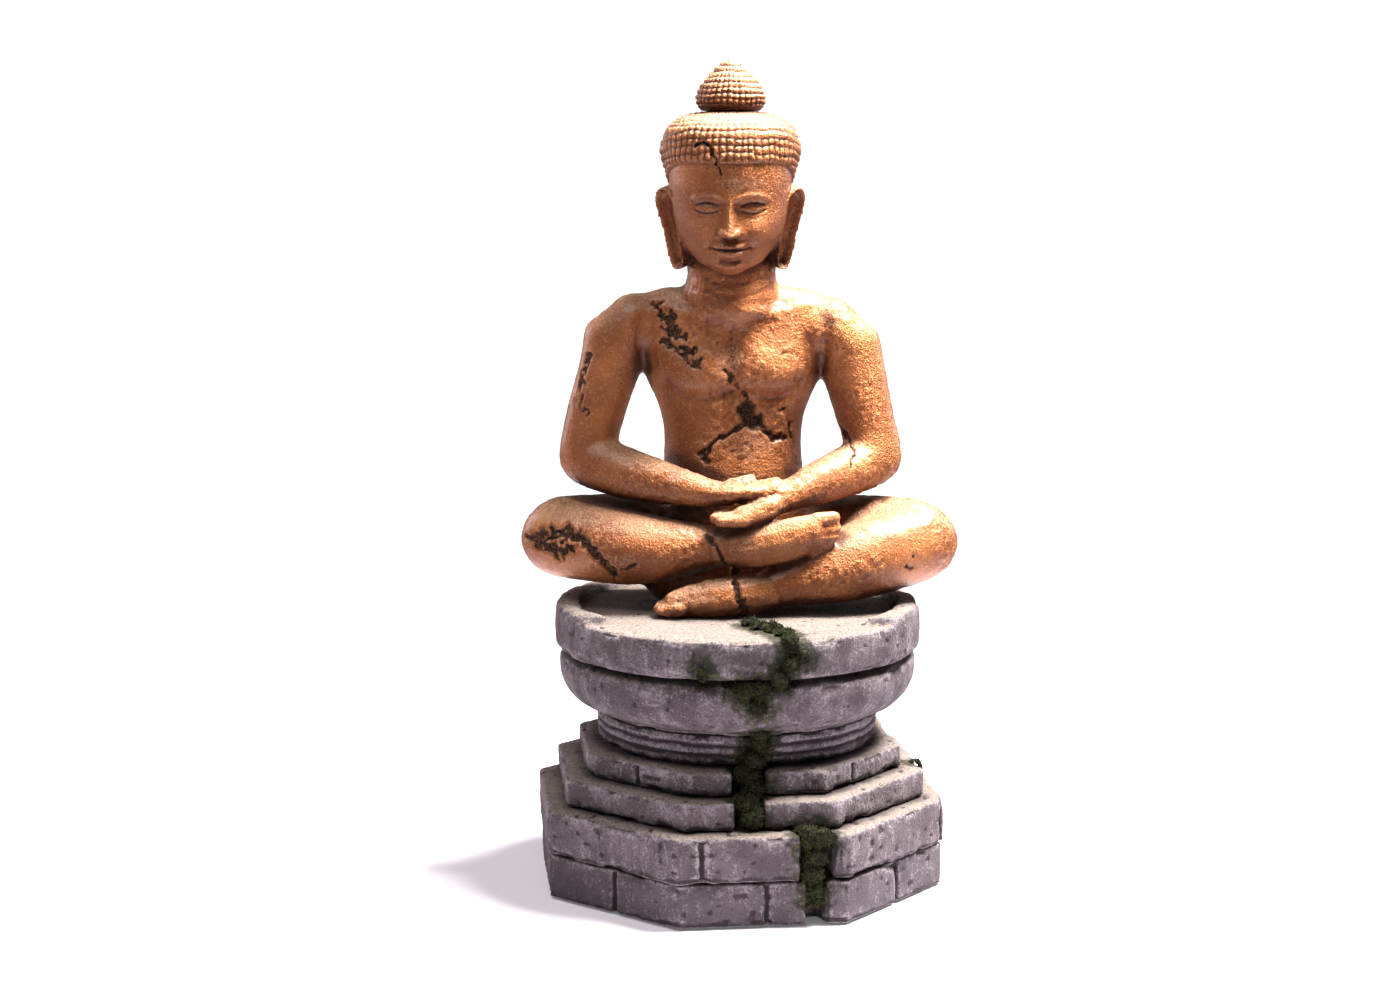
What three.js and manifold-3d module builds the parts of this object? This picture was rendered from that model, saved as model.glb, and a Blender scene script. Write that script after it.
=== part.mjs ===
// Seated buddha statue on a stepped stone pedestal: cast figure sections pinned together, standing on seven
// stacked stone courses that share one centre dowel. Millimetres, +Z up, the figure faces -Y. The origin is
// at the middle of the underside, on the surface that the statue stands on.
import * as THREE from "three";
import { mergeVertices } from "three/addons/utils/BufferGeometryUtils.js";
import Module from "manifold-3d";

const wasm = await Module();
wasm.setup();

// ---- driving dimensions ----------------------------------------------------------------------------------
const GAP = 0.3; // glue line between neighbouring pieces
const PAD_STAND = 0.6; // how far the foot pads lift the plinth
const PLINTH_TURN = 7.5; // degrees that the octagons are turned from square to the figure
const FIGURE_X = -1.5; // the figure sits a little to one side of the pedestal's axis

// Octagonal courses: corner radius, bottom, top.
const COURSES = {
  plinth_lower_course: { radius: 62.4, low: PAD_STAND, high: 13.0 },
  plinth_upper_course: { radius: 63.0, low: 13.0 + GAP, high: 26.4 },
  lower_step: { radius: 56.8, low: 26.4 + GAP, high: 34.6 },
  upper_step: { radius: 50.0, low: 34.6 + GAP, high: 41.8 },
};
const DRUM = { low: 41.8 + GAP, high: 51.0, radius: 41.5 };
const BOWL = { low: 51.0 + GAP, high: 68.6, radius: 53.0, foot: 43.0 };
const SLAB = { low: 68.6 + GAP, high: 80.6, radius: 54.2 };
const RIM = { high: 83, inner: 47, worn: -29 }; // the slab's raised rim, worn away in front of y = worn

const DOWEL = { radius: 5, low: 5, high: 97, y: 12 };
const PAD = { radius: 6, thickness: 1.8, ring: 40 };
const SIDES_ROUND = 40;
const SIDES_PIN = 12;

const STONE = new THREE.MeshStandardMaterial({ color: 0x857a78, roughness: 0.95, metalness: 0 });
const GILT = new THREE.MeshStandardMaterial({ color: 0xb46a35, roughness: 0.42, metalness: 0.8 });
const MOSS = new THREE.MeshStandardMaterial({ color: 0x2c3018, roughness: 1, metalness: 0 });
const STEEL = new THREE.MeshStandardMaterial({ color: 0x9a9a98, roughness: 0.35, metalness: 1 });
const RUBBER = new THREE.MeshStandardMaterial({ color: 0x1c1c1c, roughness: 0.8, metalness: 0 });

const statue = new THREE.Group();

// ---- solids ----------------------------------------------------------------------------------------------
function solidOf(geometry) {
  const bare = geometry.index ? geometry.toNonIndexed() : geometry.clone();
  bare.deleteAttribute("normal");
  bare.deleteAttribute("uv");
  const merged = mergeVertices(bare, 1e-4);
  return new wasm.Manifold(
    new wasm.Mesh({
      numProp: 3,
      vertProperties: merged.attributes.position.array,
      triVerts: new Uint32Array(merged.index.array),
    }),
  );
}

function addPiece(name, solid, material) {
  const made = solid.getMesh();
  const geometry = new THREE.BufferGeometry();
  geometry.setAttribute("position", new THREE.BufferAttribute(new Float32Array(made.vertProperties), 3));
  geometry.setIndex(new THREE.BufferAttribute(new Uint32Array(made.triVerts), 1));
  geometry.computeVertexNormals();
  const mesh = new THREE.Mesh(geometry, material);
  mesh.name = name;
  statue.add(mesh);
}

const join = (solids) => solids.reduce((a, b) => a.add(b));
const cut = (solid, tools) => tools.reduce((a, b) => a.subtract(b), solid);
// The largest of a solid's separate lumps, without the crumbs that a cut can leave.
const main = (solid) => solid.decompose().reduce((a, b) => (a.volume() > b.volume() ? a : b));

function box(width, depth, height, place) {
  return solidOf(new THREE.BoxGeometry(width, depth, height).applyMatrix4(place));
}

// A matrix that puts a shape at (x, y, z), turned by `degrees` about the vertical.
function at(x, y, z, degrees = 0) {
  return new THREE.Matrix4()
    .makeTranslation(x, y, z)
    .multiply(new THREE.Matrix4().makeRotationZ(THREE.MathUtils.degToRad(degrees)));
}

// A round pin of the given radius between two points.
function pin(from, to, radius, sides = SIDES_PIN) {
  const start = new THREE.Vector3(...from);
  const end = new THREE.Vector3(...to);
  const along = end.clone().sub(start);
  const turn = new THREE.Quaternion().setFromUnitVectors(
    new THREE.Vector3(0, 1, 0),
    along.clone().normalize(),
  );
  const rod = new THREE.CylinderGeometry(radius, radius, along.length(), sides);
  rod.applyQuaternion(turn).translate(...start.add(end).multiplyScalar(0.5).toArray());
  return solidOf(rod);
}

// A solid of revolution about the vertical from [radius, height] points that start and end on the axis.
function turned(profile, sides = SIDES_ROUND) {
  const points = profile.map(([r, z]) => new THREE.Vector2(r, z));
  return solidOf(new THREE.LatheGeometry(points, sides).rotateX(Math.PI / 2));
}

// A rounded limb through stations [x, y, z, half-width, half-depth]. The half-width is measured along `side`,
// made square to the limb's run, and the half-depth square to both. `grow` thickens it all round.
function limb(stations, { side = [1, 0, 0], sides = 12, steps = 7, caps = 3, grow = 0 } = {}) {
  const run = new THREE.CatmullRomCurve3(stations.map(([x, y, z]) => new THREE.Vector3(x, y, z)));
  const girth = new THREE.CatmullRomCurve3(
    stations.map(([, , , a, b = a]) => new THREE.Vector3(a + grow, b + grow, 0)),
  );
  const rows = steps + 2 * caps;
  const skin = new THREE.SphereGeometry(1, sides, rows);
  const position = skin.attributes.position;
  const reference = new THREE.Vector3(...side);
  for (let i = 0; i < position.count; i++) {
    const row = Math.floor(i / (sides + 1));
    const angle = (2 * Math.PI * (i % (sides + 1))) / sides;
    const t = THREE.MathUtils.clamp((row - caps) / steps, 0, 1);
    const past = Math.max(caps - row, row - caps - steps, 0) / caps;
    const shrink = Math.cos((past * Math.PI) / 2);
    const reach = Math.sin((past * Math.PI) / 2) * (row < caps ? -1 : 1);
    const size = girth.getPoint(t);
    const along = run.getTangent(t);
    const across = reference.clone().addScaledVector(along, -reference.dot(along)).normalize();
    const normal = across.clone().cross(along);
    const point = run
      .getPoint(t)
      .addScaledVector(along, reach * Math.min(size.x, size.y))
      .addScaledVector(across, Math.cos(angle) * size.x * shrink)
      .addScaledVector(normal, Math.sin(angle) * size.y * shrink);
    position.setXYZ(i, point.x, point.y, point.z);
  }
  return solidOf(skin);
}

// A bust: stations [z, half-width, front reach, back reach] from the bottom up, joined into one skin about an
// upright line. `relief(x, z, facing)` pushes the skin outwards, where facing runs from 1 in front to -1
// behind. Columns crowd towards the front by the power `crowd`, where the finer modelling is.
function bust(table, relief, { sides, rows, crowd = 1, grow = 0 }) {
  const shape = (pick) =>
    new THREE.CatmullRomCurve3(table.map((row) => new THREE.Vector3(row[0], pick(row), 0)));
  const [widths, fronts, backs] = [1, 2, 3].map((k) => shape((row) => row[k]));
  const skin = new THREE.SphereGeometry(1, sides, rows);
  const position = skin.attributes.position;
  for (let i = 0; i < position.count; i++) {
    const row = Math.floor(i / (sides + 1));
    const t = 1 - row / rows;
    const s = (2 * (i % (sides + 1))) / sides - 1;
    const facing = Math.cos(Math.PI * Math.sign(s) * Math.abs(s) ** crowd);
    const across = Math.sin(Math.PI * Math.sign(s) * Math.abs(s) ** crowd);
    const { x: z, y: width } = widths.getPoint(t);
    const depth = (facing > 0 ? fronts : backs).getPoint(t).y;
    const push = row === 0 || row === rows ? 0 : relief(width * across, z, facing) + grow;
    position.setXYZ(i, (width + push) * across, -(depth + push) * facing, z);
  }
  return solidOf(skin);
}

// A smooth hump of height 1 at (a, b), falling away over `w` across and `h` up and down.
const hump = (x, z, a, b, w, h) => Math.exp(-(((x - a) / w) ** 2) - ((z - b) / h) ** 2);
// The same hump on both sides of the middle.
const humps = (x, z, a, b, w, h) => hump(x, z, a, b, w, h) + hump(x, z, -a, b, w, h);

// ---- pedestal --------------------------------------------------------------------------------------------
const EIGHTH = Math.PI / 4;

function octagon(radius, low, high) {
  const outline = new THREE.Shape();
  for (let k = 0; k < 8; k++) {
    const angle = (k + 0.5) * EIGHTH + THREE.MathUtils.degToRad(PLINTH_TURN);
    const corner = [radius * Math.cos(angle), radius * Math.sin(angle)];
    if (k === 0) outline.moveTo(...corner);
    else outline.lineTo(...corner);
  }
  const prism = new THREE.ExtrudeGeometry(outline, { depth: high - low, bevelEnabled: false });
  return solidOf(prism.translate(0, 0, low));
}

// An upright slot cut into a course's edge: the angle runs from straight ahead (-Y) towards +X. The cutting
// box stands out past the stone.
const SLOT_PROUD = 2;
function slot({ angle, radius, width, depth, low, high }) {
  const a = THREE.MathUtils.degToRad(angle);
  const middle = radius - depth / 2 + SLOT_PROUD;
  return box(
    width,
    depth + 2 * SLOT_PROUD,
    high - low,
    at(middle * Math.sin(a), -middle * Math.cos(a), (low + high) / 2, angle),
  );
}

// Where each course's upright joints and its worn-out breach lie.
const JOINT = { width: 1.3, depth: 1.6 };
const JOINTS = {
  plinth_lower_course: [-37, 8.5, 53, 97, 143, 188, 232, 282],
  plinth_upper_course: [-9, 74, 121, 165, 210, 255, 292],
  lower_step: [-72, 83, 131, 178, 226],
  upper_step: [-38, 46, 106, 154, 201, 250, 296],
};
const BREACHES = {
  plinth_lower_course: { angle: 22, width: 5.5, depth: 4.5 },
  plinth_upper_course: { angle: 22.5, width: 10, depth: 7 },
  lower_step: { angle: 4, width: 8, depth: 6.5 },
  upper_step: { angle: 4.5, width: 9.5, depth: 7 },
};

const dowelHole = pin([0, DOWEL.y, -1], [0, DOWEL.y, DOWEL.high + 2 * GAP], DOWEL.radius + GAP);
const padPlaces = [45, 135, 225, 315].map((degrees) => {
  const a = THREE.MathUtils.degToRad(degrees);
  return [PAD.ring * Math.cos(a), PAD.ring * Math.sin(a)];
});

function courseSolid(name) {
  const { radius, low, high } = COURSES[name];
  const across = radius * Math.cos(EIGHTH / 2);
  const slots = JOINTS[name].map((angle) =>
    slot({ angle, radius: across, ...JOINT, low: low - 1, high: high + 1 }),
  );
  const breach = slot({ ...BREACHES[name], radius: across, low: low - 1, high: high + 1 });
  return cut(octagon(radius, low, high), [...slots, breach, dowelHole]);
}

for (const name of Object.keys(COURSES)) {
  let solid = courseSolid(name);
  if (name === "plinth_lower_course") {
    solid = cut(
      solid,
      padPlaces.map(([x, y]) => pin([x, y, -1], [x, y, PAD.thickness + GAP], PAD.radius + GAP)),
    );
  }
  addPiece(name, solid, STONE);
}

const DRUM_PROFILE = [
  [0, DRUM.low],
  [DRUM.radius, DRUM.low],
  [DRUM.radius, DRUM.low + 3.6],
  [DRUM.radius - 0.9, DRUM.low + 4.1],
  [DRUM.radius + 0.2, DRUM.low + 4.6],
  [DRUM.radius + 0.6, DRUM.high],
  [0, DRUM.high],
];

// The bowl swells from its foot in a quarter round, stands upright for a band, then turns in at the lip.
function bowlProfile() {
  const belly = [];
  const rise = 12.2;
  for (let k = 0; k <= 6; k++) {
    const a = (k / 6) * (Math.PI / 2);
    belly.push([
      BOWL.foot + (BOWL.radius - BOWL.foot) * Math.sin(a),
      BOWL.low + 1.6 + rise * (1 - Math.cos(a)),
    ]);
  }
  return [
    [0, BOWL.low],
    [BOWL.foot, BOWL.low],
    ...belly,
    [BOWL.radius - 0.4, BOWL.high - 1.6],
    [BOWL.radius - 3.4, BOWL.high - 0.4],
    [BOWL.radius - 4.4, BOWL.high],
    [0, BOWL.high],
  ];
}

const SLAB_PROFILE = [
  [0, SLAB.low],
  [SLAB.radius - 3.4, SLAB.low],
  [SLAB.radius - 1.2, SLAB.low + 0.6],
  [SLAB.radius - 0.3, SLAB.low + 2],
  [SLAB.radius, SLAB.low + 6.5],
  [SLAB.radius - 0.3, RIM.high - 1.2],
  [SLAB.radius - 1.6, RIM.high],
  [0, RIM.high],
];

addPiece("waist_drum", cut(turned(DRUM_PROFILE), [dowelHole]), STONE);
addPiece("bowl_moulding", cut(turned(bowlProfile()), [dowelHole]), STONE);

// The seat is sunk inside the rim, and in front the rim has worn down to the seat's level.
const seatTools = [
  pin([0, 0, SLAB.high], [0, 0, RIM.high + 1], RIM.inner, SIDES_ROUND),
  box(2 * SLAB.radius, SLAB.radius, 2 * (RIM.high - SLAB.high), at(0, RIM.worn - SLAB.radius / 2, RIM.high)),
];
addPiece("seat_slab", cut(turned(SLAB_PROFILE), [dowelHole, ...seatTools]), STONE);

padPlaces.forEach(([x, y], k) =>
  addPiece(`foot_pad_${k + 1}`, pin([x, y, 0], [x, y, PAD.thickness], PAD.radius), RUBBER),
);
addPiece(
  "centre_dowel",
  pin([0, DOWEL.y, DOWEL.low], [0, DOWEL.y, DOWEL.high], DOWEL.radius),
  STEEL,
);

// ---- figure ----------------------------------------------------------------------------------------------
// Stations are [x, y, z, half-width, half-depth] on the figure's own centre line; `placed` moves them there.
const placed = (stations) => stations.map(([x, ...rest]) => [x + FIGURE_X, ...rest]);
const UPRIGHT = [1, 0, 0]; // half-width across the body
const LEVEL = [0, 0, 1]; // half-width up and down, for limbs that run across

const TRUNK_Y = 13;
const TRUNK = [
  [77, 0, 0, 0],
  [78, 22, 10, 14],
  [86, 26.5, 13, 17.5],
  [94, 27, 14.5, 17.5],
  [104, 24.6, 14.6, 14],
  [114, 21.7, 14.6, 11.6],
  [124, 20.5, 14, 10.8],
  [134, 20.6, 13.2, 11.4],
  [142, 23, 12.6, 12.6],
  [150, 27, 12.6, 13.2],
  [158, 29.6, 12.2, 13],
  [164, 30, 11, 12.4],
  [168.5, 29, 9.4, 11],
  [171.8, 25.6, 7.6, 9],
  [174.2, 17.6, 5, 6],
  [175, 0, 0, 0],
];

// Breast, collar bones, belly and navel in front; spine, shoulder blades and seat behind.
function trunkRelief(x, z, facing) {
  const front =
    2 * humps(x, z, 11, 149.5, 9, 6.5) -
    1.1 * hump(x, z, 0, 153, 1.8, 10) -
    0.9 * humps(x, z, 10.5, 141, 9, 1.8) +
    1.1 * humps(x, z, 12, 166.5, 10, 1.6) +
    1.2 * hump(x, z, 0, 122, 12, 10) -
    1.6 * hump(x, z, 0.6, 129, 1.8, 1.8);
  const back =
    1.6 * humps(x, z, 13, 154, 8, 8) -
    1.4 * hump(x, z, 0, 130, 2.6, 34) +
    1.8 * humps(x, z, 11, 90, 9, 9);
  return facing > 0 ? front * Math.min(1, 2 * facing) : back * Math.min(1, -2 * facing);
}

const NECK = [
  [0, 11.8, 164, 13.8, 12],
  [0, 11, 171, 12.6, 11.4],
  [0, 10, 178, 11.6, 10.6],
  [0, 9.4, 186, 11.2, 10.2],
];
const NECK_TOP = 176.4;

function trunkSolid(grow = 0) {
  return join([
    bust(TRUNK, trunkRelief, { sides: 28, rows: 26, grow }).translate([FIGURE_X, TRUNK_Y, 0]),
    limb(placed(NECK), { side: UPRIGHT, sides: 16, steps: 4, grow }),
  ]);
}

// Everything below this level is pedestal, and above it the neck joint belongs to the head.
const FAR = 200;
const below = (level) => box(FAR, FAR, FAR, at(0, 0, level - FAR / 2));
const above = (level) => box(FAR, FAR, FAR, at(0, 0, level + FAR / 2));
const SEAT_LEVEL = SLAB.high + GAP;

const THIGH_R = [
  [-12, 17, 96.5, 13.4],
  [-24, 14, 98, 13.6],
  [-38, 9, 99.8, 12.8],
  [-49.6, 4, 100.8, 12],
];
const SHIN_R = [
  [-50, 2.5, 100.6, 11.8],
  [-38, -2.6, 99.4, 11.4],
  [-25, -6.6, 98.6, 10.4],
  [-12, -9.6, 99.4, 7.6],
  [-3, -11, 100.2, 5.8],
];
const THIGH_L = [
  [12, 17, 96.5, 13.4],
  [25, 14, 97.8, 13.6],
  [40, 9, 99.6, 13],
  [53.2, 4, 100, 12.2],
];
const SHIN_L = [
  [53.8, 2.5, 99.4, 12],
  [42, -3.6, 96.6, 11.8],
  [30, -8.6, 93.4, 10.4],
  [19, -11.6, 90.6, 7.6],
  [13.6, -13, 89.4, 6.4],
];
const legSolid = (thigh, shin, grow = 0) =>
  join([
    limb(placed(thigh), { side: LEVEL, sides: 14, steps: 5, grow }),
    limb(placed(shin), { side: LEVEL, sides: 14, steps: 7, grow }),
  ]);

// The right foot lies sole outwards on the left shin; the left foot rests on the slab under the right shin.
const FOOT_R = [
  [-3.4, -13.4, 100.2, 5.2, 4.8],
  [5, -16.4, 100.8, 6.2, 4.6],
  [15, -17.4, 103, 6.2, 4],
  [23.5, -16.6, 105.4, 5.2, 3.4],
];
const FOOT_L = [
  [11.4, -15, 88, 5.4, 5],
  [2, -17.2, 87, 5.8, 5.2],
  [-8, -18.4, 86, 5.2, 5],
  [-16, -18.6, 84.6, 3.8, 4.4],
];
// Toes: root, tip and radius, big toe first.
const TOES_R = [
  [[24, -16.4, 108.6], [29.4, -15.2, 109.4], 2.1],
  [[25, -16.6, 105.6], [30.2, -15.4, 106.4], 1.6],
  [[24.8, -16.8, 103.4], [29.6, -15.8, 104], 1.5],
  [[23.8, -16.8, 101.4], [28.2, -16, 101.8], 1.4],
  [[22, -16.8, 99.8], [26, -16.2, 99.8], 1.3],
];
const TOES_L = [
  [[-15, -22, 83.6], [-20.4, -21, 83], 1.9],
  [[-16, -19.4, 84.4], [-21.4, -18.6, 83.2], 1.6],
  [[-16, -17, 84.8], [-21, -16.2, 83.6], 1.5],
  [[-15.4, -15, 85], [-19.8, -14, 84], 1.4],
];
const digit = (from, to, radius, grow) =>
  limb(
    placed([
      [...from, radius * 1.1],
      [...from.map((v, k) => (v + to[k]) / 2), radius],
      [...to, radius * 0.85],
    ]),
    { side: LEVEL, sides: 8, steps: 2, caps: 2, grow },
  );
const footSolid = (foot, toes, grow = 0) =>
  join([
    limb(placed(foot), { side: LEVEL, sides: 12, steps: 5, grow }),
    ...toes.map(([from, to, radius]) => digit(from, to, radius, grow)),
  ]);

const ARM_R = [
  [-22, 12.8, 163.4, 8.2, 8.2],
  [-32.8, 12.5, 161.3, 10, 9.6],
  [-37.1, 12.1, 151, 9.5, 9],
  [-40.8, 10.8, 138, 8.6, 8.4],
  [-43.6, 9, 125.2, 8.2],
];
const FOREARM_R = [
  [-43.6, 9, 124, 8.2],
  [-34, 3, 120.6, 7.8],
  [-22, -2.6, 118.2, 6.4],
  [-12, -7, 116.4, 4.9],
  [-6.4, -9, 115.6, 4.1],
];
const ARM_L = [
  [22, 12.8, 163.2, 8.2, 8.2],
  [32.4, 12.4, 160.6, 9.8, 9.6],
  [35.8, 12, 150.6, 9.4, 9],
  [39, 10.8, 138, 8.4, 8.4],
  [42.4, 9, 125.4, 8],
];
const FOREARM_L = [
  [42.4, 9, 124.2, 8],
  [34, 2.6, 120.6, 7.4],
  [24, -4.4, 117.6, 6],
  [17.4, -9.4, 115.4, 4.5],
  [14.4, -11.6, 114.2, 3.9],
];
const armSolid = (upper, forearm, grow = 0) =>
  join([
    limb(placed(upper), { side: UPRIGHT, sides: 14, steps: 6, grow }),
    limb(placed(forearm), { side: LEVEL, sides: 14, steps: 6, grow }),
  ]);

// Hands lie palm up in the lap, the right one behind and above the left.
const PALM_R = [
  [-5, -9.6, 115.4, 3.6, 4.2],
  [0, -11, 115.8, 3, 5.2],
  [5.4, -11.4, 116.6, 2.6, 5],
];
const PALM_L = [
  [13, -12.6, 113.6, 3.4, 3.8],
  [8.4, -15.4, 111.4, 3.2, 5],
  [3, -17, 110, 2.8, 5],
];
const FINGERS_R = [
  [[5, -15, 116.2], [12.6, -13.4, 117.4], 1.6],
  [[6, -12, 117], [13.6, -10.6, 118.4], 1.7],
  [[6, -9, 117.4], [13, -8, 118.8], 1.6],
  [[-1, -8, 118], [5.6, -6.6, 119.6], 1.5],
];
const FINGERS_L = [
  [[10.4, -17.6, 113.2], [4.6, -19.4, 111.2], 1.8],
  [[3.6, -20.4, 109.2], [-3.4, -20, 108.8], 1.6],
  [[2.6, -17.6, 109.6], [-5, -17, 109.4], 1.7],
  [[2, -14.8, 110], [-4.4, -14.4, 110], 1.6],
];
const handSolid = (palm, fingers, grow = 0) =>
  join([
    limb(placed(palm), { side: LEVEL, sides: 10, steps: 3, grow }),
    ...fingers.map(([from, to, radius]) => digit(from, to, radius, grow)),
  ]);

// The head is modelled upright about its own chin, then bowed forwards and set on the neck. Heights count up
// from the chin: the mouth at a sixth of the height, the nose's base at a quarter, the eyes below the middle.
const HEAD = { x: FIGURE_X - 0.8, y: 6.4, chin: 180.4, bow: 7, crown: 45.6 };
const SKULL = [
  [0, 0, 0, 0],
  [0.3, 4, 15, 1],
  [3, 10, 17, 4],
  [7, 13.4, 17.4, 9],
  [11, 15.4, 17.5, 14],
  [16, 16.8, 17.7, 18],
  [21, 17.4, 17.8, 19.8],
  [26, 17.9, 18, 20.6],
  [31, 18, 17.7, 20.8],
  [35, 17.8, 16.6, 20.4],
  [39, 16.2, 14, 18.6],
  [42.6, 12.6, 10.4, 14.4],
  [45, 6.6, 5.4, 7.6],
  [45.6, 0, 0, 0],
];
const HAIR = { line: 33, thick: 2.3, dip: 6 };

// The nose stands out from a narrow bridge to a rounded tip and drops away beneath it.
function noseRelief(x, z) {
  const rise = THREE.MathUtils.clamp((22.5 - z) / 9.5, 0, 1);
  const under = THREE.MathUtils.smoothstep(z, 11.2, 12.8);
  return (0.7 + 3.6 * rise) * Math.exp(-((x / (1.4 + 1.1 * rise)) ** 2)) * under * (z < 24 ? 1 : 0);
}

function headRelief(x, z, facing) {
  const hairline = HAIR.line - HAIR.dip * (1 - Math.max(facing, -0.4)) ** 2;
  const hair = HAIR.thick * THREE.MathUtils.smoothstep(z, hairline - 0.6, hairline + 0.6);
  if (facing < 0.15) return hair * (1 - THREE.MathUtils.smoothstep(z, 41, 45.6));
  const brow = 22.6 + 1.5 * Math.sin((Math.PI * Math.min(Math.abs(x), 11)) / 11);
  const face =
    noseRelief(x, z) +
    0.7 * humps(x, z, 6, brow, 4.4, 1.1) -
    1.5 * humps(x, z, 6, 19.6, 3.4, 2.1) +
    1.5 * humps(x, z, 6.4, 19.3, 2.9, 1.5) +
    1.5 * humps(x, z, 2.4, 12.6, 1.2, 1.2) +
    0.6 * humps(x, z, 8.6, 13.4, 4, 4.4) +
    1.4 * hump(x, z, 0, 8.9, 4, 0.8) +
    1.5 * hump(x, z, 0, 6.7, 3.4, 0.9) -
    0.6 * hump(x, z, 0, 7.8, 4.6, 0.35) -
    0.5 * hump(x, z, 0, 4.9, 3, 0.8) +
    1.2 * hump(x, z, 0, 2.4, 4, 1.9);
  return face + hair * (1 - THREE.MathUtils.smoothstep(z, 41, 45.6));
}

// The ears have long lobes that hang to the level of the chin. Outlines are [distance behind the ear's front
// root, height above the chin].
const EAR = { out: 15.8, thick: 3, bevel: 0.6, lean: 7, splay: 16, back: 1.5 };
const EAR_OUTLINE = [
  [-1.6, 20],
  [0.6, 24],
  [3.8, 24.8],
  [6.4, 22],
  [5.8, 17],
  [4.4, 12],
  [4.2, 7],
  [3.2, 2.2],
  [0.8, 1],
  [-1.4, 2.8],
  [-1.6, 8],
  [-1.1, 13],
  [-1.9, 16.6],
];
const EAR_HOLLOW = [
  [0.6, 20],
  [2, 22.2],
  [3.8, 21.6],
  [4.2, 18.4],
  [2.8, 14.4],
  [0.8, 14],
  [0.4, 17],
];
const outlineOf = (points, divisions) =>
  new THREE.Shape(
    new THREE.CatmullRomCurve3(points.map(([y, z]) => new THREE.Vector3(y, z, 0)), true)
      .getPoints(divisions)
      .slice(0, divisions)
      .map(({ x, y }) => new THREE.Vector2(x, y)),
  );

// One ear on the +X side, standing off the skull and turned a little forwards.
function earSolid() {
  const { out, thick, bevel, lean, splay, back } = EAR;
  const rim = new THREE.ExtrudeGeometry(outlineOf(EAR_OUTLINE, 26), {
    depth: thick - bevel,
    bevelSize: bevel,
    bevelThickness: bevel,
    bevelOffset: -bevel,
    bevelSegments: 1,
  });
  const hollow = new THREE.ExtrudeGeometry(outlineOf(EAR_HOLLOW, 14), {
    depth: thick,
    bevelEnabled: false,
  }).translate(0, 0, thick - 1);
  const upright = new THREE.Matrix4().makeBasis(
    new THREE.Vector3(0, 1, 0),
    new THREE.Vector3(0, 0, 1),
    new THREE.Vector3(1, 0, 0),
  );
  return solidOf(rim.applyMatrix4(upright))
    .subtract(solidOf(hollow.applyMatrix4(upright)))
    .rotate([0, lean, -splay])
    .translate([out, back, 0]);
}

const headSolid = () =>
  join([
    bust(SKULL, headRelief, { sides: 36, rows: 38, crowd: 1.35 }),
    earSolid(),
    earSolid().mirror([1, 0, 0]),
  ])
    .rotate([HEAD.bow, 0, 0])
    .translate([HEAD.x, HEAD.y, HEAD.chin])
    .add(limb(placed(NECK), { side: UPRIGHT, sides: 16, steps: 4 }));

const TOPKNOT = { y: 9, low: 226.2, high: 241.2, radius: 10.3 };
const topknotSolid = () =>
  turned(
    [
      [0, TOPKNOT.low],
      [8.6, TOPKNOT.low],
      [9.9, TOPKNOT.low + 1.4],
      [TOPKNOT.radius, TOPKNOT.low + 3.4],
      [9.4, TOPKNOT.low + 6.2],
      [7.2, TOPKNOT.low + 9.2],
      [4.2, TOPKNOT.low + 12.2],
      [1.8, TOPKNOT.low + 14.4],
      [0, TOPKNOT.high],
    ],
    18,
  ).translate([HEAD.x, TOPKNOT.y, 0]);

// Pins that hold the figure's castings together: from, to and radius.
const PINS = {
  neck_pin: [[HEAD.x, 9, 171], [HEAD.x, 7, 192], 2.5],
  right_shoulder_pin: [[FIGURE_X - 22, 13, 161], [FIGURE_X - 38, 13, 160], 2],
  left_shoulder_pin: [[FIGURE_X + 22, 13, 161], [FIGURE_X + 38, 13, 160], 2],
  right_hip_pin: [[FIGURE_X - 18, 16, 98], [FIGURE_X - 34, 12, 99], 2.5],
  left_hip_pin: [[FIGURE_X + 18, 16, 98], [FIGURE_X + 34, 12, 99], 2.5],
  topknot_pin: [[HEAD.x, TOPKNOT.y, 218], [HEAD.x, TOPKNOT.y, 232], 1.6],
};
const END_CLEAR = 0.5;
function pinHole([from, to, radius]) {
  const run = to.map((v, k) => v - from[k]);
  const length = Math.hypot(...run);
  const spare = run.map((v) => (v / length) * END_CLEAR);
  return pin(
    from.map((v, k) => v - spare[k]),
    to.map((v, k) => v + spare[k]),
    radius + GAP,
  );
}
const pinHoles = Object.values(PINS).map(pinHole);
for (const [name, place] of Object.entries(PINS)) addPiece(name, pin(...place), STEEL);

const trunk = cut(trunkSolid(), [
  below(SEAT_LEVEL),
  above(NECK_TOP),
  dowelHole,
  ...pinHoles,
]);
addPiece("torso", trunk, GILT);

// Each casting is cut back from the ones before it, so that every seam keeps its glue line.
const seated = [trunkSolid(GAP), below(SEAT_LEVEL), dowelHole, ...pinHoles];
const leftLeg = cut(legSolid(THIGH_L, SHIN_L), seated);
addPiece("left_leg", leftLeg, GILT);
const leftLegTool = legSolid(THIGH_L, SHIN_L, GAP);
addPiece("right_leg", cut(legSolid(THIGH_R, SHIN_R), [...seated, leftLegTool]), GILT);
const rightLegTool = legSolid(THIGH_R, SHIN_R, GAP);
const lap = [...seated, leftLegTool, rightLegTool];
addPiece("left_foot", cut(footSolid(FOOT_L, TOES_L), lap), GILT);
const leftFootTool = footSolid(FOOT_L, TOES_L, GAP);
addPiece("right_foot", cut(footSolid(FOOT_R, TOES_R), [...lap, leftFootTool]), GILT);
const feetTools = [leftFootTool, footSolid(FOOT_R, TOES_R, GAP)];

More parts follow.
